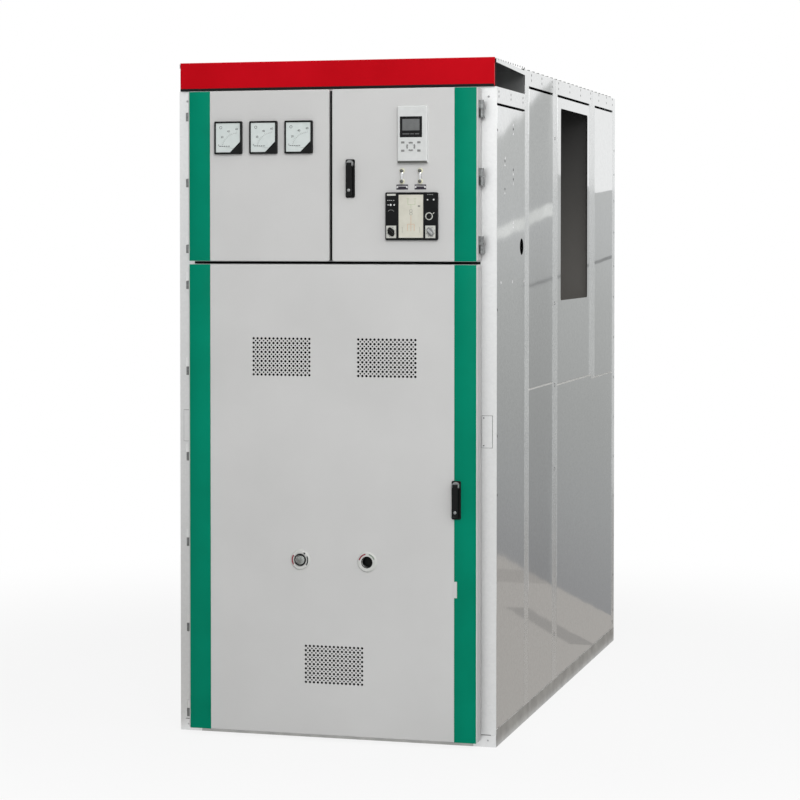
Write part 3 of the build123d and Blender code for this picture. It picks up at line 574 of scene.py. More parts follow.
def addDial(faces, marks, scales, x, z, face, settings):
    halfX = settings["width"] / 2 - settings["rim"]
    halfZ = (meterHigh.z - meterLow.z) / 2 - settings["rim"]
    cut = settings["cut"]
    plate = startMesh()
    plate.faces.new([plate.verts.new((x + px, face, z + pz)) for px, pz in (
        (-halfX, -halfZ), (halfX - cut, -halfZ), (halfX, cut - halfZ), (halfX, halfZ),
        (-halfX, halfZ))])
    bmesh.ops.recalc_face_normals(plate, faces=plate.faces)
    if plate.faces[0].normal.y > 0:
        bmesh.ops.reverse_faces(plate, faces=plate.faces)
    front = plate.faces[:]
    bmesh.ops.inset_region(plate, faces=front, thickness=settings["band"], depth=0)
    bmesh.ops.inset_region(plate, faces=front, thickness=settings["dip"], depth=-settings["dip"])
    for plateFace in front:
        plateFace.material_index = 1
    rim = [edge for edge in plate.edges if edge.is_boundary]
    verts = vertsOf(bmesh.ops.extrude_edge_only(plate, edges=rim))
    bmesh.ops.translate(plate, verts=verts, vec=(0, settings["thick"], 0))
    bmesh.ops.holes_fill(plate, edges=[edge for edge in plate.edges if edge.is_boundary], sides=0)
    addPart(faces, plate)
    paper = face + settings["dip"]
    low, high = paper - settings["ink"], paper + glue
    pivotX, pivotZ = x + settings["pivot"][0], z + settings["pivot"][1]
    start, end = settings["arc"]

    def onArc(radius, share):
        angle = radians(start + (end - start) * share)
        return pivotX + radius * cos(angle), pivotZ + radius * sin(angle)

    addRing(scales, (pivotX, high, pivotZ), settings["radius"] + settings["line"],
            settings["radius"] - settings["line"], high - low, 120, start, end)
    for step in range(settings["steps"] + 1):
        share = step / settings["steps"]
        far = settings["radius"] + (settings["short"] if step % 4 else settings["long"])
        addStroke(scales, onArc(settings["radius"], share), onArc(far, share),
                  settings["tickWidth"], low, high)
    for step, number in enumerate(settings["numbers"]):
        numberX, numberZ = onArc(settings["numberRadius"], step / (len(settings["numbers"]) - 1))
        height = settings["numberHeight"] * (1 if number else settings["zeroShare"])
        addLettering(marks, str(number), (numberX, (low + high) / 2, numberZ), height, high - low)
    tailX, tailZ = settings["tail"]
    riseLow, riseHigh = settings["needleRise"]
    addStroke(scales, (pivotX + tailX, pivotZ + tailZ), onArc(settings["needle"], 1),
              settings["needleWidth"], low - riseLow, low - riseHigh)
    # the small mark of the quantity at the top left and a row of class marks at the foot
    addRing(marks, (x - 0.6 * halfX, high, z + 0.7 * halfZ), *settings["symbol"], high - low, 24)
    count, pitch, length, width = settings["class"]
    foot = z - 0.58 * halfZ
    for step in range(count):
        left = x - 0.72 * halfX + step * pitch
        addStroke(marks, (left, foot), (left + length, foot), width, low, high)


dialFaces, dialMarks, dialScales = startMeshes(3)
meterPitch = (meterHigh.x - meterLow.x - meter["width"]) / 2
for place in range(3):
    addDial(dialFaces, dialMarks, dialScales,
            meterLow.x + meter["width"] / 2 + place * meterPitch,
            middle(meterLow.z, meterHigh.z), meterLow.y + meter["front"], meter)
dials = finishPiece(dialFaces, "meter_dial_faces", dialRim, "left_upper_door",
                    ["meter_dials"])
dials.data.materials.append(dialWhite)
finishPieces("left_upper_door", (
    (dialMarks, "meter_dial_marks", blackInk, "black_plastic"),
    (dialScales, "meter_dial_scales", greyInk, "grey_plastic")))
print("meters made")

# Relay: display glass, keys and the grey lip along its foot
relay = {
    "depth": 16, "lcd": (67, 43), "lcdRise": 8, "lcdProud": 0.3, "softProud": 0.2,
    "soft": ((-33, -6), (-2, 12), (16, 32)), "softDrop": (28, 25),   # fields under the picture
    "keyRing": (17.5, 11.8), "keyArc": 62, "arcHeight": 2.1, "keyHeight": 1.3, "keySize": (13, 8),
    "keyReach": (31.5, 15.5), "lipHeight": 9, "lipProud": 1.0, "keypadDrop": 74,
}
relayLow, relayHigh = boxMm("relay_case")
screenLow, screenHigh = boxMm("relay_screen")
relayFace = doorFace - relay["depth"]
screenX, screenZ = middle(screenLow.x, screenHigh.x), middle(screenLow.z, screenHigh.z)
lcd, keys, lip = startMeshes(3)
addPlate(lcd, (screenX, screenZ + relay["lcdRise"]), relay["lcd"],
         (screenLow.y - relay["lcdProud"], screenLow.y + glue), 0.1)
softLow, softHigh = relay["softDrop"]
for left, right in relay["soft"]:
    addBlock(lcd, (screenX + left, screenLow.y - relay["softProud"], screenZ - softLow),
             (screenX + right, screenLow.y + glue, screenZ - softHigh))
keypadZ = screenZ - relay["keypadDrop"]
for turn in range(4):
    start = turn * 90 - relay["keyArc"] / 2
    addRing(keys, (screenX, relayFace + glue, keypadZ), *relay["keyRing"],
            relay["arcHeight"] + glue, 64, start, start + relay["keyArc"])
reachX, reachZ = relay["keyReach"]
for x in (screenX - reachX, screenX + reachX):
    for z in (keypadZ - reachZ, keypadZ + reachZ):
        addPlate(keys, (x, z), relay["keySize"],
                 (relayFace - relay["keyHeight"], relayFace + glue), 0.8, 2)
addBlock(lip, (relayLow.x + 1, relayFace - relay["lipProud"], relayLow.z + 0.5),
         (relayHigh.x - 1, doorFace - 1, relayLow.z + relay["lipHeight"]), 0.8, 2)
finishPieces("right_upper_door", (
    (lcd, "relay_lcd", lcdGrey, "screen_grey"),
    (keys, "relay_keys", keyRubber, "grey_plastic"),
    (lip, "relay_foot_lip", relayLip, "grey_plastic")))
print("relay made")

# Test links under the relay: a bridge between two screw terminals, and a blank label
testLink = {
    "shifts": (-38, 33), "top": 2186, "bottom": 2146, "screwRadius": 6.5, "screwHeight": 7,
    "screwRise": 3.5, "bridgeWidth": 8, "bridgeHeight": 4, "bridgeOver": 6, "footRadius": 10,
    "footHeight": 3, "labelHalf": 22.5, "labelHeight": 19, "labelTop": 2134, "labelDepth": 1.2,
    "print": 0.2, "lineInset": 3, "line": (12, 14), "dashHalf": 3, "dashInset": 4, "dash": (6, 12),
}
bridges, terminals, feet, labels, labelLines = startMeshes(5)
footFace = doorFace - testLink["footHeight"]
labelFace = doorFace - testLink["labelDepth"]
half = testLink["labelHalf"]
for shift in testLink["shifts"]:
    x = screenX + shift
    for z in (testLink["top"], testLink["bottom"]):
        addRound(feet, (x, doorFace + glue, z), testLink["footRadius"],
                 testLink["footHeight"], bevel=0.8)
        addRound(terminals, (x, footFace - testLink["screwRise"], z),
                 testLink["screwRadius"], testLink["screwHeight"], sides=16, bevel=1)
    addBlock(bridges, (x - testLink["bridgeWidth"] / 2, footFace - testLink["bridgeHeight"],
                       testLink["bottom"] - testLink["bridgeOver"]),
             (x + testLink["bridgeWidth"] / 2, footFace + 0.5,
              testLink["top"] + testLink["bridgeOver"]), 1.5, 2)
    low = testLink["labelTop"] - testLink["labelHeight"]
    addBlock(labels, (x - half, labelFace, low), (x + half, doorFace + glue, testLink["labelTop"]),
             0.5)
    reach = half - testLink["lineInset"]
    dashMiddle, dashHalf = half - testLink["dashInset"], testLink["dashHalf"]
    for left, right, (foot, top) in (
            (-reach, reach, testLink["line"]),
            (-dashMiddle - dashHalf, -dashMiddle + dashHalf, testLink["dash"]),
            (dashMiddle - dashHalf, dashMiddle + dashHalf, testLink["dash"])):
        addBlock(labelLines, (x + left, labelFace - testLink["print"], low + foot),
                 (x + right, labelFace + glue, low + top))
finishPieces("right_upper_door", (
    (feet, "test_link_insulators", ivoryPlastic, "white_plastic"),
    (terminals, "test_link_screws", darkScrew, "plated_metal"),
    (bridges, "test_link_bridges", chromePlate, "plated_metal"),
    (labels, "test_link_labels", labelPlastic, "black_plastic"),
    (labelLines, "test_link_label_lines", labelWhite, "white_plastic")))
print("test links made")

# Status display: printed mimic on the cream film, indicator lights, scale plates, small dial
display = {
    "depth": 12, "plate": (39, 47), "plateFoot": 8, "plateProud": 0.25,
    "label": (34, 7.5), "labelCorner": (6.8, 5.5), "print": 0.4,
    "lampRadius": 1.9, "lampHeight": 1.2,
    # each lamp's place from the middle and its share of the radius
    "lamps": ((-92, 60, 0.8), (-84, 60, 0.8), (-77, 60, 0.8), (-69, 60, 0.8), (-91, 43, 1.1),
              (-81, 43, 2.0), (-67, 43, 1.6), (63, 62, 1.5), (87, 62, 1.7)),
    "dial": 69, "dialRing": (14.5, 11.1, 1.2), "dialMark": ((15, 9), (20, 14), 3),
    "knob": (9.5, 4.5), "knobBar": ((-7, -4), (7, 4), 2.4, 6, 4),
    "arc": (-80, 9), "arcRing": (16, 14.4), "arcHeight": 0.5, "arcTurn": (40, 140),
    "dots": (4, 6, 4, 3), "firstDot": (62, 80), "dotProud": 0.3,   # count, pitch and size
    "ticks": (15.5, 18.5, 19.5), "tickTurn": 22, "tickWidth": 1.6, "tickProud": (0.45, 0.05),
}
displayLow, displayHigh = boxMm("display_case")
filmLow, filmHigh = boxMm("display_panel")
displayX, displayZ = middle(displayLow.x, displayHigh.x), middle(displayLow.z, displayHigh.z)
displayFace = doorFace - display["depth"]
filmX = middle(filmLow.x, filmHigh.x)
knobs = ("left_display_knob", "right_display_knob")
knobPlaces = [middle(boxMm(knob)[0].x, boxMm(knob)[1].x) for knob in knobs]
plates, lamps, displayRings, displayInk, knobInk, dialKnob = startMeshes(6)
plateZ = displayLow.z + display["plateFoot"] + display["plate"][1] / 2
for x in knobPlaces:
    addPlate(plates, (x, plateZ), display["plate"],
             (displayFace - display["plateProud"], displayFace + glue))
printed = (displayFace - display["print"], displayFace + glue)
width, height = display["label"]
insetX, insetZ = display["labelCorner"]
addPlate(plates, (displayLow.x + insetX + width / 2, displayHigh.z - insetZ - height / 2),
         display["label"], printed, 0.2)
for x, z, size in display["lamps"]:
    addRound(lamps, (displayX + x, displayFace + glue, displayZ + z),
             display["lampRadius"] * size, display["lampHeight"], sides=16, bevel=0.4)
dialX = displayX + display["dial"]
addRing(displayRings, (dialX, displayFace + glue, displayZ), *display["dialRing"], 40)


def addDialBar(bm, start, end, width, low, high):
    # a bar on the small dial, its ends given from the dial's middle
    addStroke(bm, (dialX + start[0], displayZ + start[1]), (dialX + end[0], displayZ + end[1]),
              width, low, high)


addDialBar(displayRings, *display["dialMark"], *printed)
arcX, arcZ = display["arc"]
addRing(displayInk, (displayX + arcX, displayFace + glue, displayZ + arcZ),
        *display["arcRing"], display["arcHeight"], 48, *display["arcTurn"])
count, pitch, width, height = display["dots"]
for step in range(count):
    left, foot = [displayX + display["firstDot"][0] + step * pitch,
                  displayZ + display["firstDot"][1]]
    addBlock(displayInk, (left, displayFace - display["dotProud"], foot),
             (left + width, displayFace + glue, foot + height))
near, farX, farZ = display["ticks"]
tickLow, tickHigh = [displayFace - proud for proud in display["tickProud"]]
for x in knobPlaces:
    for turn in range(0, 360, 45):
        angle = radians(turn + display["tickTurn"])
        addStroke(knobInk, (x + near * cos(angle), plateZ + near * sin(angle)),
                  (x + farX * cos(angle), plateZ + farZ * sin(angle)),
                  display["tickWidth"], tickLow, tickHigh)
finishPieces("right_upper_door", (
    (plates, "display_scale_plates", scalePlate, "white_plastic"),
    (lamps, "display_lamps", lampLens, "white_plastic"),
    (displayRings, "display_dial_ring", scalePlate, "white_plastic"),
    (displayInk, "display_small_print", keyRubber, "grey_plastic"),
    (knobInk, "knob_scale_ticks", blackInk, "black_plastic")))
knobWing = {"radius": 17, "tip": 15.5, "height": 5, "shape": (0.7, 1, 1.08), "turn": -28,
            "rise": 2.2}
for x, body, finish, slot in zip(knobPlaces, knobs, (blackPlastic, keyRubber),
                                 ("black_plastic", "grey_plastic")):
    wing = startMesh()
    addRound(wing, (0, 0, 0), knobWing["radius"], knobWing["height"], "front", 40,
             knobWing["tip"], 1.5)
    bmesh.ops.scale(wing, verts=wing.verts, vec=knobWing["shape"])
    bmesh.ops.rotate(wing, verts=wing.verts,
                     matrix=Matrix.Rotation(radians(knobWing["turn"]), 3, "Y"))
    knobZ = middle(boxMm(body)[0].z, boxMm(body)[1].z)
    bmesh.ops.translate(wing, verts=wing.verts, vec=(x, displayFace - knobWing["rise"], knobZ))
    finishPiece(wing, body + "_wing", finish, body)
radius, height = display["knob"]
addRound(dialKnob, (dialX, displayFace + glue, displayZ), radius, height, sides=32, bevel=1.2)
start, end, width, front, back = display["knobBar"]
addDialBar(dialKnob, start, end, width, displayFace - front, displayFace - back)
finishPiece(dialKnob, "display_dial_knob", blackPlastic, "right_upper_door")

# The mimic's printed lines, from the film's middle: width, then start and end of each as x, z
mimicGreen, mimicOrange, mimicGrey = startMeshes(3)
mimic = {"ink": 0.2, "winding": (6, 4.8), "windings": (20, 10)}
inkLow, inkHigh = filmLow.y - mimic["ink"], filmLow.y + mimic["ink"]
for rise in mimic["windings"]:
    addRing(mimicGrey, (filmX, inkHigh, displayZ + rise), *mimic["winding"], inkHigh - inkLow)
mimicLines = (
    (mimicGreen, 1.6, ((-12, 66, -12, 44), (-17, 66, -7, 66), (16, 66, 16, 44), (11, 66, 21, 66),
                       (-12, 44, 16, 44), (0, 44, 0, 28))),
    (mimicGrey, 7, ((27, 38, 36, 38),)),
    (mimicGrey, 1.0, ((-34, -40, -34, -62), (34, -40, 34, -62))),
    (mimicOrange, 1.6, ((0, 4, 0, -30), (-13, -30, -13, -56), (0, -30, 0, -56), (13, -30, 13, -56),
                        (-13, -30, 13, -30))),
)
for bm, width, lines in mimicLines:
    for startX, startZ, endX, endZ in lines:
        addStroke(bm, (filmX + startX, displayZ + startZ), (filmX + endX, displayZ + endZ), width,
                  inkLow, inkHigh)
finishPieces("right_upper_door", (
    (mimicGreen, "mimic_green_lines", mimicInkGreen, "mimic_cream"),
    (mimicOrange, "mimic_orange_lines", mimicInkOrange, "mimic_cream"),
    (mimicGrey, "mimic_grey_lines", mimicInkGrey, "mimic_cream")))
print("status display made")

# Rosettes on the main door: a key switch on the left, the crank hole on the right
rosette = {
    "radius": 39, "arc": (33.5, 28.5), "ink": 0.4, "keyRing": (23, 19), "keySink": 3,
    "ringHeight": 4, "core": (18.5, 5, 16.5), "coreShift": 2,   # radius, height and tip radius
    "slot": (5, 26), "slotDepth": (9.5, 4), "shutter": (24, 2), "shutterDepth": 22,
    "sleeve": (23, 20.5, 19.3), "rim": (22.5, 19.4, 0.5),   # outer and inner radius, height
}
rosetteLow, rosetteHigh = boxMm("door_rosettes")
rosetteFace, rosetteZ = rosetteLow.y, middle(rosetteLow.z, rosetteHigh.z)
keyX = rosetteLow.x + rosette["radius"]
crankX = rosetteHigh.x - rosette["radius"]
redArcs, darkArcs, greenArcs, keyRing, keyCore, shutter = startMeshes(6)
for bm, x, start, end in ((redArcs, keyX, 145, 215), (darkArcs, keyX, -38, 28),
                          (darkArcs, keyX, 48, 62), (redArcs, crankX, 100, 165),
                          (greenArcs, crankX, 22, 75)):
    addRing(bm, (x, rosetteFace + glue, rosetteZ), *rosette["arc"],
            rosette["ink"] + glue, 72, start, end)
keySeat = rosetteFace + rosette["keySink"]
addRing(keyRing, (keyX, keySeat + glue, rosetteZ), *rosette["keyRing"],
        rosette["ringHeight"] + glue, 48)
coreX = keyX + rosette["coreShift"]
radius, height, tip = rosette["core"]
addRound(keyCore, (coreX, keySeat + glue, rosetteZ), radius, height, tip=tip, sides=40, bevel=1.5)
addPlate(keyCore, (coreX, rosetteZ), rosette["slot"],
         [keySeat - depth for depth in rosette["slotDepth"]], 1.2, 2)
shutterPlace = (crankX, doorFace + rosette["shutterDepth"], rosetteZ)
addRound(shutter, shutterPlace, *rosette["shutter"], sides=32)
addRing(shutter, shutterPlace, *rosette["sleeve"], 40)
outer, inner, height = rosette["rim"]
addRing(shutter, (crankX, rosetteFace + glue, rosetteZ), outer, inner, height + glue, 48)
finishPieces("main_door", (
    (redArcs, "rosette_red_arcs", arcRed, "white_plastic"),
    (darkArcs, "rosette_dark_arcs", arcDark, "white_plastic"),
    (greenArcs, "rosette_green_arcs", arcGreen, "white_plastic"),
    (keyRing, "key_switch_ring", blackPlastic, "black_plastic"),
    (keyCore, "key_switch_core", satinNickel, "plated_metal"),
    (shutter, "crank_hole_shutter", blackPlastic, "black_plastic")))
print("rosettes made")

# Key cylinders near the lower ends of the two levers
lock = {"rise": 22, "radius": 6, "proud": 0.6, "sink": 2}
for lever in ("upper_handle_lever", "main_handle_lever"):
    leverLow, leverHigh = boxMm(lever)
    cylinder = startMesh()
    seat = leverLow.y + lock["sink"]
    face = max(leverLow.y - lock["proud"], cadLow.y / mm)
    addRound(cylinder, (middle(leverLow.x, leverHigh.x), seat, leverLow.z + lock["rise"]),
             lock["radius"], seat - face, sides=20, bevel=0.3)
    finishPiece(cylinder, lever + "_lock", satinZinc, lever)

# Green strips: sprayed up to the doors' own edges, so a little longer than a glued film
paint = {"inset": 0.6, "edge": 0.3, "notch": (572, 634, 11), "notchProud": 0.3}


def addPaintStrip(bm, left, right, strip, door):
    # one strip from the left to the right edge, as tall as its door
    front, back = [corner.y for corner in boxMm(strip)]
    foot, top = [corner.z for corner in boxMm(door)]
    addBlock(bm, (left, front, foot + paint["inset"]),
             (right, back, top - paint["inset"]), paint["edge"], 2)


for door in ("left_upper_door", "right_upper_door"):
    strip = startMesh()
    low, high = boxMm(door + "_strip")
    addPaintStrip(strip, low.x, high.x, door + "_strip", door)
    finishPiece(strip, door + "_strip_paint", stripPaint, door, [door + "_strip"])
stripWidth = high.x - low.x
strips, notch = startMeshes(2)
low, high = boxMm("main_door_strips")
notchLeft = high.x - stripWidth
for left in (low.x, notchLeft):
    addPaintStrip(strips, left, left + stripWidth, "main_door_strips", "main_door")
finishPiece(strips, "main_door_strips_paint", stripPaint, "main_door",
            ["main_door_strips"])
foot, top, width = paint["notch"]   # the stretch of the right strip left unpainted
addBlock(notch, (notchLeft - 0.5, low.y - paint["notchProud"], foot),
         (notchLeft + width, high.y, top), 0.1)
finishPiece(notch, "strip_notch_plate", doorPaint, "main_door")

# Painted shade and shadow: black strips behind the gaps between the doors, dark linings behind and
# under the header and at the trough's rear, and a black strip as the header's painted shadow
gapShade = {"half": 572, "proud": 4.4, "gap": 1.5, "leafDepth": (14, 52), "leafInset": 4,
           "leafAcross": (0.5, 1.7)}
doorGapShade, leafGapShade, shadeLining, headerShadowStrip, reveal = startMeshes(5)
half, gap = gapShade["half"], gapShade["gap"]
leafLow, leafHigh = boxMm("left_upper_door")
# black strip behind the gap under the upper doors: painted shade
addBlock(doorGapShade, (-half, postFace - gapShade["proud"], doorHigh.z + gap),
         (half, postFace + glue, leafLow.z - gap), 1, 2)
finishPiece(doorGapShade, "door_gap_painted_shade", rubberAndPaintedShade, "cabinet")
front, back = [doorFace + depth for depth in gapShade["leafDepth"]]
inner, outer = gapShade["leafAcross"]
# black strip in the gap between the two upper doors: painted shade
addBlock(leafGapShade, (leafHigh.x - inner, front, leafLow.z + gapShade["leafInset"]),
         (leafHigh.x + outer, back, leafHigh.z - gapShade["leafInset"]), 0.2)
finishPiece(leafGapShade, "upper_door_gap_painted_shade", rubberAndPaintedShade, "left_upper_door")
headerLow, headerHigh = boxMm("header_panel")
roofFront = boxMm("roof_panels")[0].y
# dark grey linings as painted shade: behind the header, under its foot and at the trough's rear
# wall
shadeLinings = (   # low and high corner
    ((headerLow.x + 3, headerHigh.y - 1.6, headerLow.z + 3),
     (headerHigh.x - 3, headerHigh.y - 0.4, headerHigh.z - 3)),
    ((headerLow.x + 2, headerLow.y + 0.6, headerLow.z - 3),
     (headerHigh.x - 2, headerHigh.y - 1, headerLow.z + 0.3)),
    ((3 - sideFace, roofFront - 3, boxMm("front_roof_panel")[1].z + 2),
     (sideFace - 3, roofFront - 1.5, boxMm("trough_cover")[1].z - 8)))
for low, high in shadeLinings:
    addBlock(shadeLining, low, high, 0.3)
# black strip along the header's lower edge: painted shadow under the header
headerShadow = {"over": 7, "under": 3, "proud": 0.4, "inset": 0.6, "sink": 2}   # under the header
addBlock(headerShadowStrip, (headerLow.x + headerShadow["inset"], headerLow.y - headerShadow["proud"],
                      headerLow.z - headerShadow["under"]),
         (headerHigh.x - headerShadow["inset"], headerLow.y + headerShadow["sink"],
          headerLow.z + headerShadow["over"]), 0.3)
windowLow, windowHigh = boxMm("right_window_panel")
# sheet that closes the busbar room behind the window's rear edge
windowEdge = {"across": (4, 160), "along": (20, 18.5), "foot": 40, "top": 20}
for side in (1, -1):
    addSideBlock(reveal, side, [sideFace - inset for inset in windowEdge["across"]],
                 [windowHigh.y - inset for inset in windowEdge["along"]],
                 (windowLow.z + windowEdge["foot"], windowHigh.z - windowEdge["top"]))
finishPieces("cabinet", (
    (shadeLining, "trough_painted_shade_linings", troughShadeLining, "black_plastic"),
    (headerShadowStrip, "header_painted_shadow", rubberAndPaintedShade, "black_plastic"),
    (reveal, "window_reveals", innerSheetPaintedShade, "bare_sheet")))

# Feet of the front posts, caps on the sills' open ends, pale lines of painted highlight at the
# joints between the panels and above the base rails, and the dark joint round the small covers on
# the posts with their screws
footing = {
    "inner": 546, "proud": 1.2, "height": 45, "line": (577, 614), "lineHeight": 1.6, "cap": 1.6,
    "joint": 4, "jointProud": 0.03, "jointHeight": (5, 1.5),   # below and above its line
    "joints": ((-693, -216, 1326), (-116, 676, 1312), (676, 1202, 1298)),
    # the third seam post ends above the lower panel; this closes the slot under it
    "slot": ((676.5, 741), (1296.5, 1311.8)),
    "cover": (41.2, -1.2), "coverEdge": 1.2, "screw": (33, 8, 2.4, 0.8), "air": 0.3, "under": 0.2,
}
sillEnd, railTop = boxMm("base_rails")[0].y, boxMm("base_rails")[1].z
panelFoot = boxMm("right_side_panels")[0].z
sillFront, sillRear = [corner.y for corner in boxMm("base_crossbeams")]
coverLow, coverHigh = boxMm("post_covers")
feetPlates, jointLines, caps, joints, postFeet = startMeshes(5)
air, edge = footing["air"], sideFace - footing["under"]
footTop, footFront = footing["height"] - air, postFace - footing["proud"]
jointIn, jointOut = edge - footing["joint"], sideFace + footing["jointProud"]
under, over = footing["jointHeight"]
rim = footing["coverEdge"]
inset, drop, radius, height = footing["screw"]
for side in (1, -1):
    addSideBlock(feetPlates, side, (footing["inner"], edge), (footFront, postFace + glue),
                 (air, footTop), 0.4)
    addSideBlock(jointLines, side, footing["line"], (footFront - air, postFace + glue),
                 (footTop, footing["height"] + footing["lineHeight"]))
    for along in ((sillFront + glue, sillEnd + air), (-sillEnd - air, sillRear - glue)):
        addSideBlock(caps, side, (edge - footing["cap"], edge), along, (air, panelFoot - air), 0.2)
    # pale line above the base rail and along the panel joints: painted highlight
    addSideBlock(joints, side, (jointIn, edge - air), (sillEnd, -sillEnd),
                 (railTop - 1, panelFoot + glue))
    for start, end, z in footing["joints"]:
        addSideBlock(joints, side, (jointIn, jointOut), (start, end), (z - under, z + over), 0.05)
    addSideBlock(postFeet, side, (edge - 2, edge), *footing["slot"], 0.2)
    addSideBlock(jointLines, side, [coverHigh.x - inset for inset in footing["cover"]],
                 (postFace - 0.4, postFace + glue), (coverLow.z - rim, coverHigh.z + rim), 0.2)
    for z in (coverHigh.z - drop, coverLow.z + drop):
        addRound(jointLines, (side * (coverHigh.x - inset), coverLow.y + glue, z), radius, height,
                 sides=12)
finishPieces("cabinet", (
    (feetPlates, "post_feet", frameSheet, "frame_sheet"),
    (jointLines, "post_foot_joints", rubberAndPaintedShade, "black_plastic"),
    (caps, "sill_end_caps", baseSteel, "hinge_metal"),
    (postFeet, "seam_post_feet", seamSheet, "bare_sheet"),
    (joints, "base_joint_painted_highlight", jointPaintedHighlight, "white_plastic")))

# Sheet metal details on both sides, as (rows along the cabinet, heights above the floor).
# They lie flush in the outer faces: punched holes are flat discs of painted shade, the flat rivet
# heads white as a painted highlight
sheet = {
    "skin": 0.03, "sink": 1, "radius": 5.5,
    "skirtHoles": (
        ((-1235, -1025, -806), (2485, 2467)), ((-644, -441, -230), (2585, 2564)),
        ((-93, 153, 400, 640), (2588, 2564)), ((844, 1040, 1200), (2592, 2566))),
    "holes": (
        ((-983,), (2354,)), ((-1130,), (2226, 2119)), ((-982,), (2197, 2160)),
        ((-1258,), (2339, 1660, 1182, 958)),
        ((1248,), (2349, 2235, 2111, 1960, 1800, 1652, 1460, 1269, 1080, 890, 700, 510, 320, 150)),
        ((1228,), (92, 100))),
    "rivets": (
        ((-983,), (2371, 2336)), ((-1130,), (2211, 2104)), ((-982,), (2181, 2142)),
        ((-1126,), (2237,)), ((-983,), (1992, 1975)), ((-1196, -994, -782), (1762,))),
    "washers": (((-170,), (2351, 1658, 1313, 958, 257)),), "washer": 8,
    "washerRivet": (3.6, 0.045),   # radius and skin
    "coverScrews": (-1240, -775, 12, 2606, 3.5),   # from, to, count, height and radius
}


def addFlush(bm, side, places, radius, skin=sheet["skin"], sides=12):
    # thin discs let into the side's face, of which only the caps show
    facing, inner = ("right" if side > 0 else "left"), sideFace - sheet["sink"]
    for rows, heights in places:
        for y in rows:
            for z in heights:
                addRound(bm, (side * inner, y, z), radius, sheet["sink"] + skin, facing, sides)


skirtHoles, sideHoles, sideRivets, sideWashers, roofBolts, postRivets = startMeshes(6)
start, end, count, height, screwRadius = sheet["coverScrews"]
screws = [start + (end - start) * step / (count - 1) for step in range(count)]
for side in (1, -1):
    for bm, key in ((skirtHoles, "skirtHoles"), (sideHoles, "holes"), (sideRivets, "rivets")):
        addFlush(bm, side, sheet[key], sheet["radius"])
    # dark washers drawn in the holes' painted shade, their middles in the rivets' painted
    # highlight
    addFlush(sideWashers, side, sheet["washers"], sheet["washer"], sides=20)
    addFlush(sideRivets, side, sheet["washers"], *sheet["washerRivet"])
    addFlush(sideHoles, side, [(screws, [height])], screwRadius)
finishPieces("cabinet", (
    (skirtHoles, "skirt_punched_holes", holeGreyShade, "bare_sheet"),
    (sideHoles, "side_punched_holes", holeShade, "bare_sheet"),
    (sideRivets, "side_rivet_heads", rivetPaintedHighlight, "bare_sheet"),
    (sideWashers, "seam_lock_washers", holeShade, "plated_metal")))

# Hexagon bolts along the roof's edges and rivets on the front posts
bolt = {
    "radius": 8, "head": 5, "washer": (10.5, 1.2), "edge": 14, "rearEdge": 16,
    "row": (30, 92, 22), "rearRow": (-570, 95, 13),   # start, pitch and count
}
postRivet = (   # x, heights, radius, height, sides and tip radius
    (603, (25, 2465), 4.5, 2.2, 16, 3), (566, (47, 60, 2412, 2440), 3.5, 2, 12, 2.4))
roofLow, roofHigh = boxMm("roof_panels")


def addBolt(x, y):
    foot = roofHigh.z - glue
    addRound(roofBolts, (x, y, foot), *bolt["washer"], "up", 16)
    addRound(roofBolts, (x, y, foot + bolt["washer"][1]), bolt["radius"],
             bolt["head"], "up", 6, bevel=0.6)


start, pitch, count = bolt["row"]
for side in (1, -1):
    for step in range(count):
        addBolt(side * (roofHigh.x - bolt["edge"]), roofLow.y + start + step * pitch)
start, pitch, count = bolt["rearRow"]
for step in range(count):
    addBolt(start + step * pitch, roofHigh.y - bolt["rearEdge"])
for side in (1, -1):
    for x, heights, radius, height, sides, tip in postRivet:
        for z in heights:
            addRound(postRivets, (side * x, postFace + glue, z), radius, height, "front", sides,
                     tip)
finishPieces("cabinet", (
    (roofBolts, "roof_bolts", darkScrew, "plated_metal"),
    (postRivets, "post_rivets", screwZinc, "plated_metal")))
print("sheet metal details made")

# Floor, sky, lights and camera, in metres
studio = {
    "floorSize": 60, "floorColour": "#CDCDCD", "floorLift": (0.86, 1.0), "floorReach": (1.6, 4.5),
    "skyColour": "#FFFFFF", "skyStrength": 0.45, "white": (1, 1, 1, 1),
    "cameraPlace": (2.6521, -10.1302, 1.9237), "cameraYaw": 15.496, "cameraPitch": -1.5,
    "focalPixels": 2405.65, "centre": (384.49, 303.16), "picture": 800, "sensor": 36, "far": 200,
    "softLights": (   # name, place, target, size and watts
        ("key_light", (2.6, -8.2, 5.4), (0, -1.2, 1.6), (5, 4), 330),
        ("right_light", (6.5, -3.0, 4.5), (0.6, 0, 1.3), (5, 4), 120),
        ("top_light", (0, 0, 7), (0, 0, 0), (6, 6), 120)),
    "roomLight": ("busbar_room_light", (0, 0.22, 1.75), 0.15, 3.4),
}


def addSeenShare(tree):
    # 1 where the camera sees the surface, itself or by reflection, else 0
    path = addNode(tree, "LightPath").outputs
    first = addMath(tree, "MAXIMUM", path["Is Camera Ray"], path["Is Glossy Ray"])
    return addMath(tree, "MAXIMUM", first, path["Is Transmission Ray"])


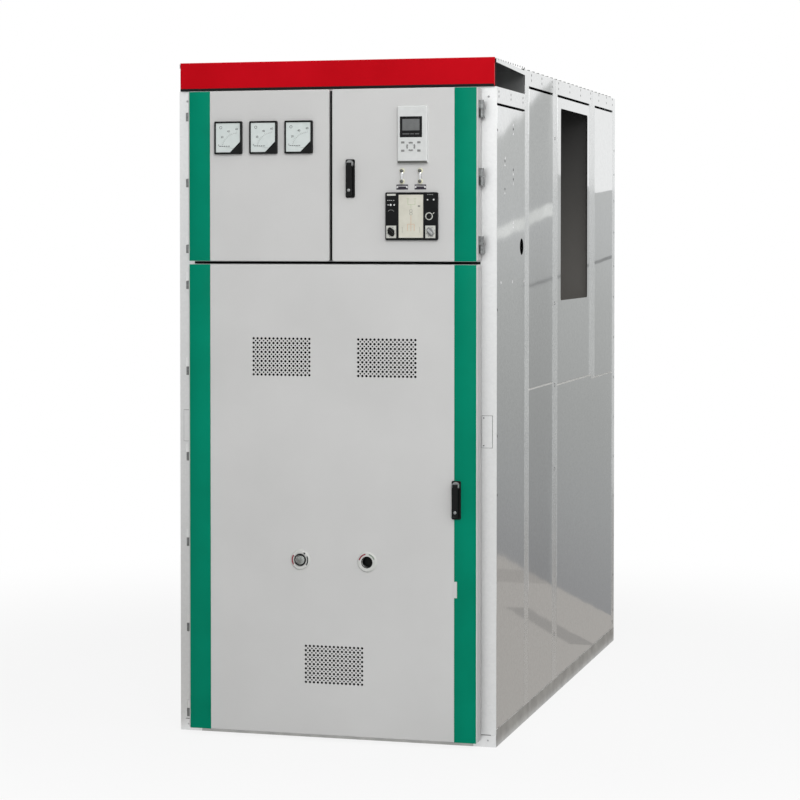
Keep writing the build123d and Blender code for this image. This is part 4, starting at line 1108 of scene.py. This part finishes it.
def addFloor(settings):
    bm = startMesh()
    bmesh.ops.create_grid(bm, x_segments=1, y_segments=1, size=settings["floorSize"] / 2)
    floor = newObject("studio_floor", bm)
    material, tree = newTree("studio_floor_paper")
    paper = addNode(tree, "BsdfDiffuse", {"Color": linear(settings["floorColour"])})
    glow = addNode(tree, "Emission", {"Color": settings["white"], "Strength": 1.0})
    # the paper keeps the cabinet's shadow near it and is plain white farther out
    place = addNode(tree, "TexCoord").outputs["Object"]
    away = addNode(tree, "VectorMath", {"operation": "LENGTH"}, {"Vector": place})
    near, far = settings["floorReach"]
    low, high = settings["floorLift"]
    lift = addRange(tree, away.outputs["Value"], {
        "From Min": near, "From Max": far, "To Min": low, "To Max": high,
        "interpolation_type": "SMOOTHSTEP"})
    mix = addNode(tree, "MixShader", links={
        0: addMath(tree, "MULTIPLY", addSeenShare(tree), lift), 1: paper.outputs["BSDF"],
        2: glow.outputs["Emission"]})
    addNode(tree, "OutputMaterial", links={"Surface": mix.outputs["Shader"]})
    floor.data.materials.append(material)


def addSky(settings):
    world = bpy.data.worlds.new("studio_sky")
    bpy.context.scene.world = world
    world.use_nodes = True
    tree = world.node_tree
    tree.nodes.clear()
    soft = addNode(tree, "Background", {
        "Color": linear(settings["skyColour"]), "Strength": settings["skyStrength"]})
    white = addNode(tree, "Background", {"Color": settings["white"], "Strength": 1.0})
    mix = addNode(tree, "MixShader", links={
        0: addSeenShare(tree), 1: soft.outputs[0], 2: white.outputs[0]})
    addNode(tree, "OutputWorld", links={"Surface": mix.outputs[0]})


def addLamp(name, kind, place, power):
    light = bpy.data.lights.new(name, kind)
    light.energy = power
    lamp = bpy.data.objects.new(name, light)
    lamp.location = place
    bpy.context.scene.collection.objects.link(lamp)
    return light, lamp


def addSoftLight(name, place, target, size, power):
    light, lamp = addLamp(name, "AREA", place, power)
    light.shape = "RECTANGLE"
    light.size, light.size_y = size
    lamp.rotation_euler = (Vector(target) - Vector(place)).to_track_quat("-Z", "Y").to_euler()


def addRoomLight(name, place, radius, power):
    # a small soft lamp out of sight inside, for the light that the real room gets from above
    light, lamp = addLamp(name, "POINT", place, power)
    light.shadow_soft_size = radius
    lamp.visible_camera = lamp.visible_glossy = False


def addCamera(settings):
    camera = bpy.data.cameras.new("photo_camera")
    holder = bpy.data.objects.new("photo_camera", camera)
    holder.location = settings["cameraPlace"]
    pitch, yaw = radians(90 + settings["cameraPitch"]), radians(settings["cameraYaw"])
    holder.rotation_euler = (pitch, 0, yaw)
    picture, (across, down) = settings["picture"], settings["centre"]
    camera.sensor_width = settings["sensor"]
    camera.lens = settings["focalPixels"] / picture * settings["sensor"]
    camera.shift_x = (picture / 2 - across) / picture
    camera.shift_y = (down - picture / 2) / picture
    camera.clip_end = settings["far"]
    bpy.context.scene.collection.objects.link(holder)
    bpy.context.scene.camera = holder


# Grey studio cards beside the cabinet, seen only in its bare sheet: a wall on each side
# whose top edge runs as the line of light in the photograph's sheet does, and its floor
cards = {
    "wall": (0.5, -0.22),   # the wall's plan: x grows by half of y from there
    "line": ((1.95, 2.18), (2.28, 2.17), (2.38, 2.21), (2.93, 2.29), (3.04, 2.82), (3.26, 2.77),
             (3.59, 2.68), (3.86, 2.61), (4.17, 2.55), (5.0, 2.42), (7.0, 2.3)),   # y and z
    "top": 3.0,   # the height at which a card's tones end
    "tones": ((0.0, "#9A9A9B"), (0.5, "#A6A7A7"), (1.0, "#AEAFAE"), (1.6, "#BABBBA"),
              (2.0, "#C6C7C7"), (2.4, "#CACBCA")),
    "floorTone": "#B6B2AE", "floorStart": 0.66, "floorEnd": (4.0, 8.0), "floorHeight": 0.002,
    "band": (3.29, 0.25, 0.88),   # where the wall is darker: middle, half width and share
    # a pale pipe and a ledge along the wall and a dark seam on the floor: both ends, half
    # width in x and in z, tone
    "strips": (
        ((1.89, 4.12, 1.94), (1.26, 2.86, 2.099), (0, 0.035), "#ECEDEB"),
        ((1.525, 3.444, 1.651), (0.765, 1.922, 1.84), (0, 0.008), "#949595"),
        ((0.745, 1.08, 0.004), (1.31, 2.13, 0.004), (0.06, 0), "#A3A09D")),
}


def addCard(name, corners, faces, tones, settings):
    bm = startMesh()
    verts = [bm.verts.new(corner) for corner in corners]
    for face in faces:
        bm.faces.new([verts[place] for place in face])
    card = newObject(name, bm)
    card.visible_camera = card.visible_diffuse = card.visible_shadow = False
    card.visible_transmission = card.visible_volume_scatter = False
    material, tree = newTree(name)
    place = addNode(tree, "TexCoord").outputs["Object"]
    parts = addNode(tree, "SeparateXYZ", links={"Vector": place}).outputs
    level = addRange(tree, parts["Z"], {"From Max": settings["top"]})
    ramp = addNode(tree, "ValToRGB", links={"Fac": level})
    stops = ramp.color_ramp.elements
    while len(stops) < len(tones):
        stops.new(0.5)
    for stop, (z, tone) in zip(stops, tones):
        stop.position = z / settings["top"]
        stop.color = linear(tone)
    centre, half, share = settings["band"]
    within = addNode(tree, "Math", {"operation": "COMPARE", 1: centre, 2: half},
                     {0: addMath(tree, "ABSOLUTE", parts["Y"])})
    shade = addRange(tree, within.outputs[0], {"To Min": 1.0, "To Max": share})
    glow = addNode(tree, "Emission", links={"Color": ramp.outputs["Color"], "Strength": shade})
    addNode(tree, "OutputMaterial", links={"Surface": glow.outputs["Emission"]})
    card.data.materials.append(material)


def addPlainCard(name, corners, tone, settings):
    # a card with four corners and one tone
    addCard(name, corners, [(0, 1, 2, 3)], ((0, tone), (settings["top"], tone)), settings)


def addCards(settings):
    # the strips first: straight, before the wall or on the floor
    for start, end, (acrossX, acrossZ), tone in settings["strips"]:
        for sideX in (1, -1):
            for sideY in (1, -1):
                corners = [(sideX * (x + acrossX * edge), sideY * y, z + acrossZ * edge)
                           for (x, y, z), edge in ((start, -1), (end, -1), (end, 1), (start, 1))]
                addPlainCard("reflected_strip", corners, tone, settings)
    slope, shift = settings["wall"]
    count = len(settings["line"])
    faces = [(step, step + 1, count + step + 1, count + step) for step in range(count - 1)]
    for sideX in (1, -1):
        for sideY in (1, -1):
            foot, top = [[(sideX * (slope * y + shift), sideY * y, share * z)
                          for y, z in settings["line"]] for share in (0, 1)]
            addCard("side_card", foot + top, faces, settings["tones"], settings)
        inner, (outer, reach) = settings["floorStart"], settings["floorEnd"]
        corners = [(sideX * x, y, settings["floorHeight"]) for x, y in (
            (inner, -reach), (outer, -reach), (outer, reach), (inner, reach))]
        addPlainCard("floor_card", corners, settings["floorTone"], settings)


addFloor(studio)
addSky(studio)
addCards(cards)
for softLight in studio["softLights"]:
    addSoftLight(*softLight)
addRoomLight(*studio["roomLight"])
addCamera(studio)
bpy.context.scene.view_settings.view_transform = "Standard"
print("studio made")
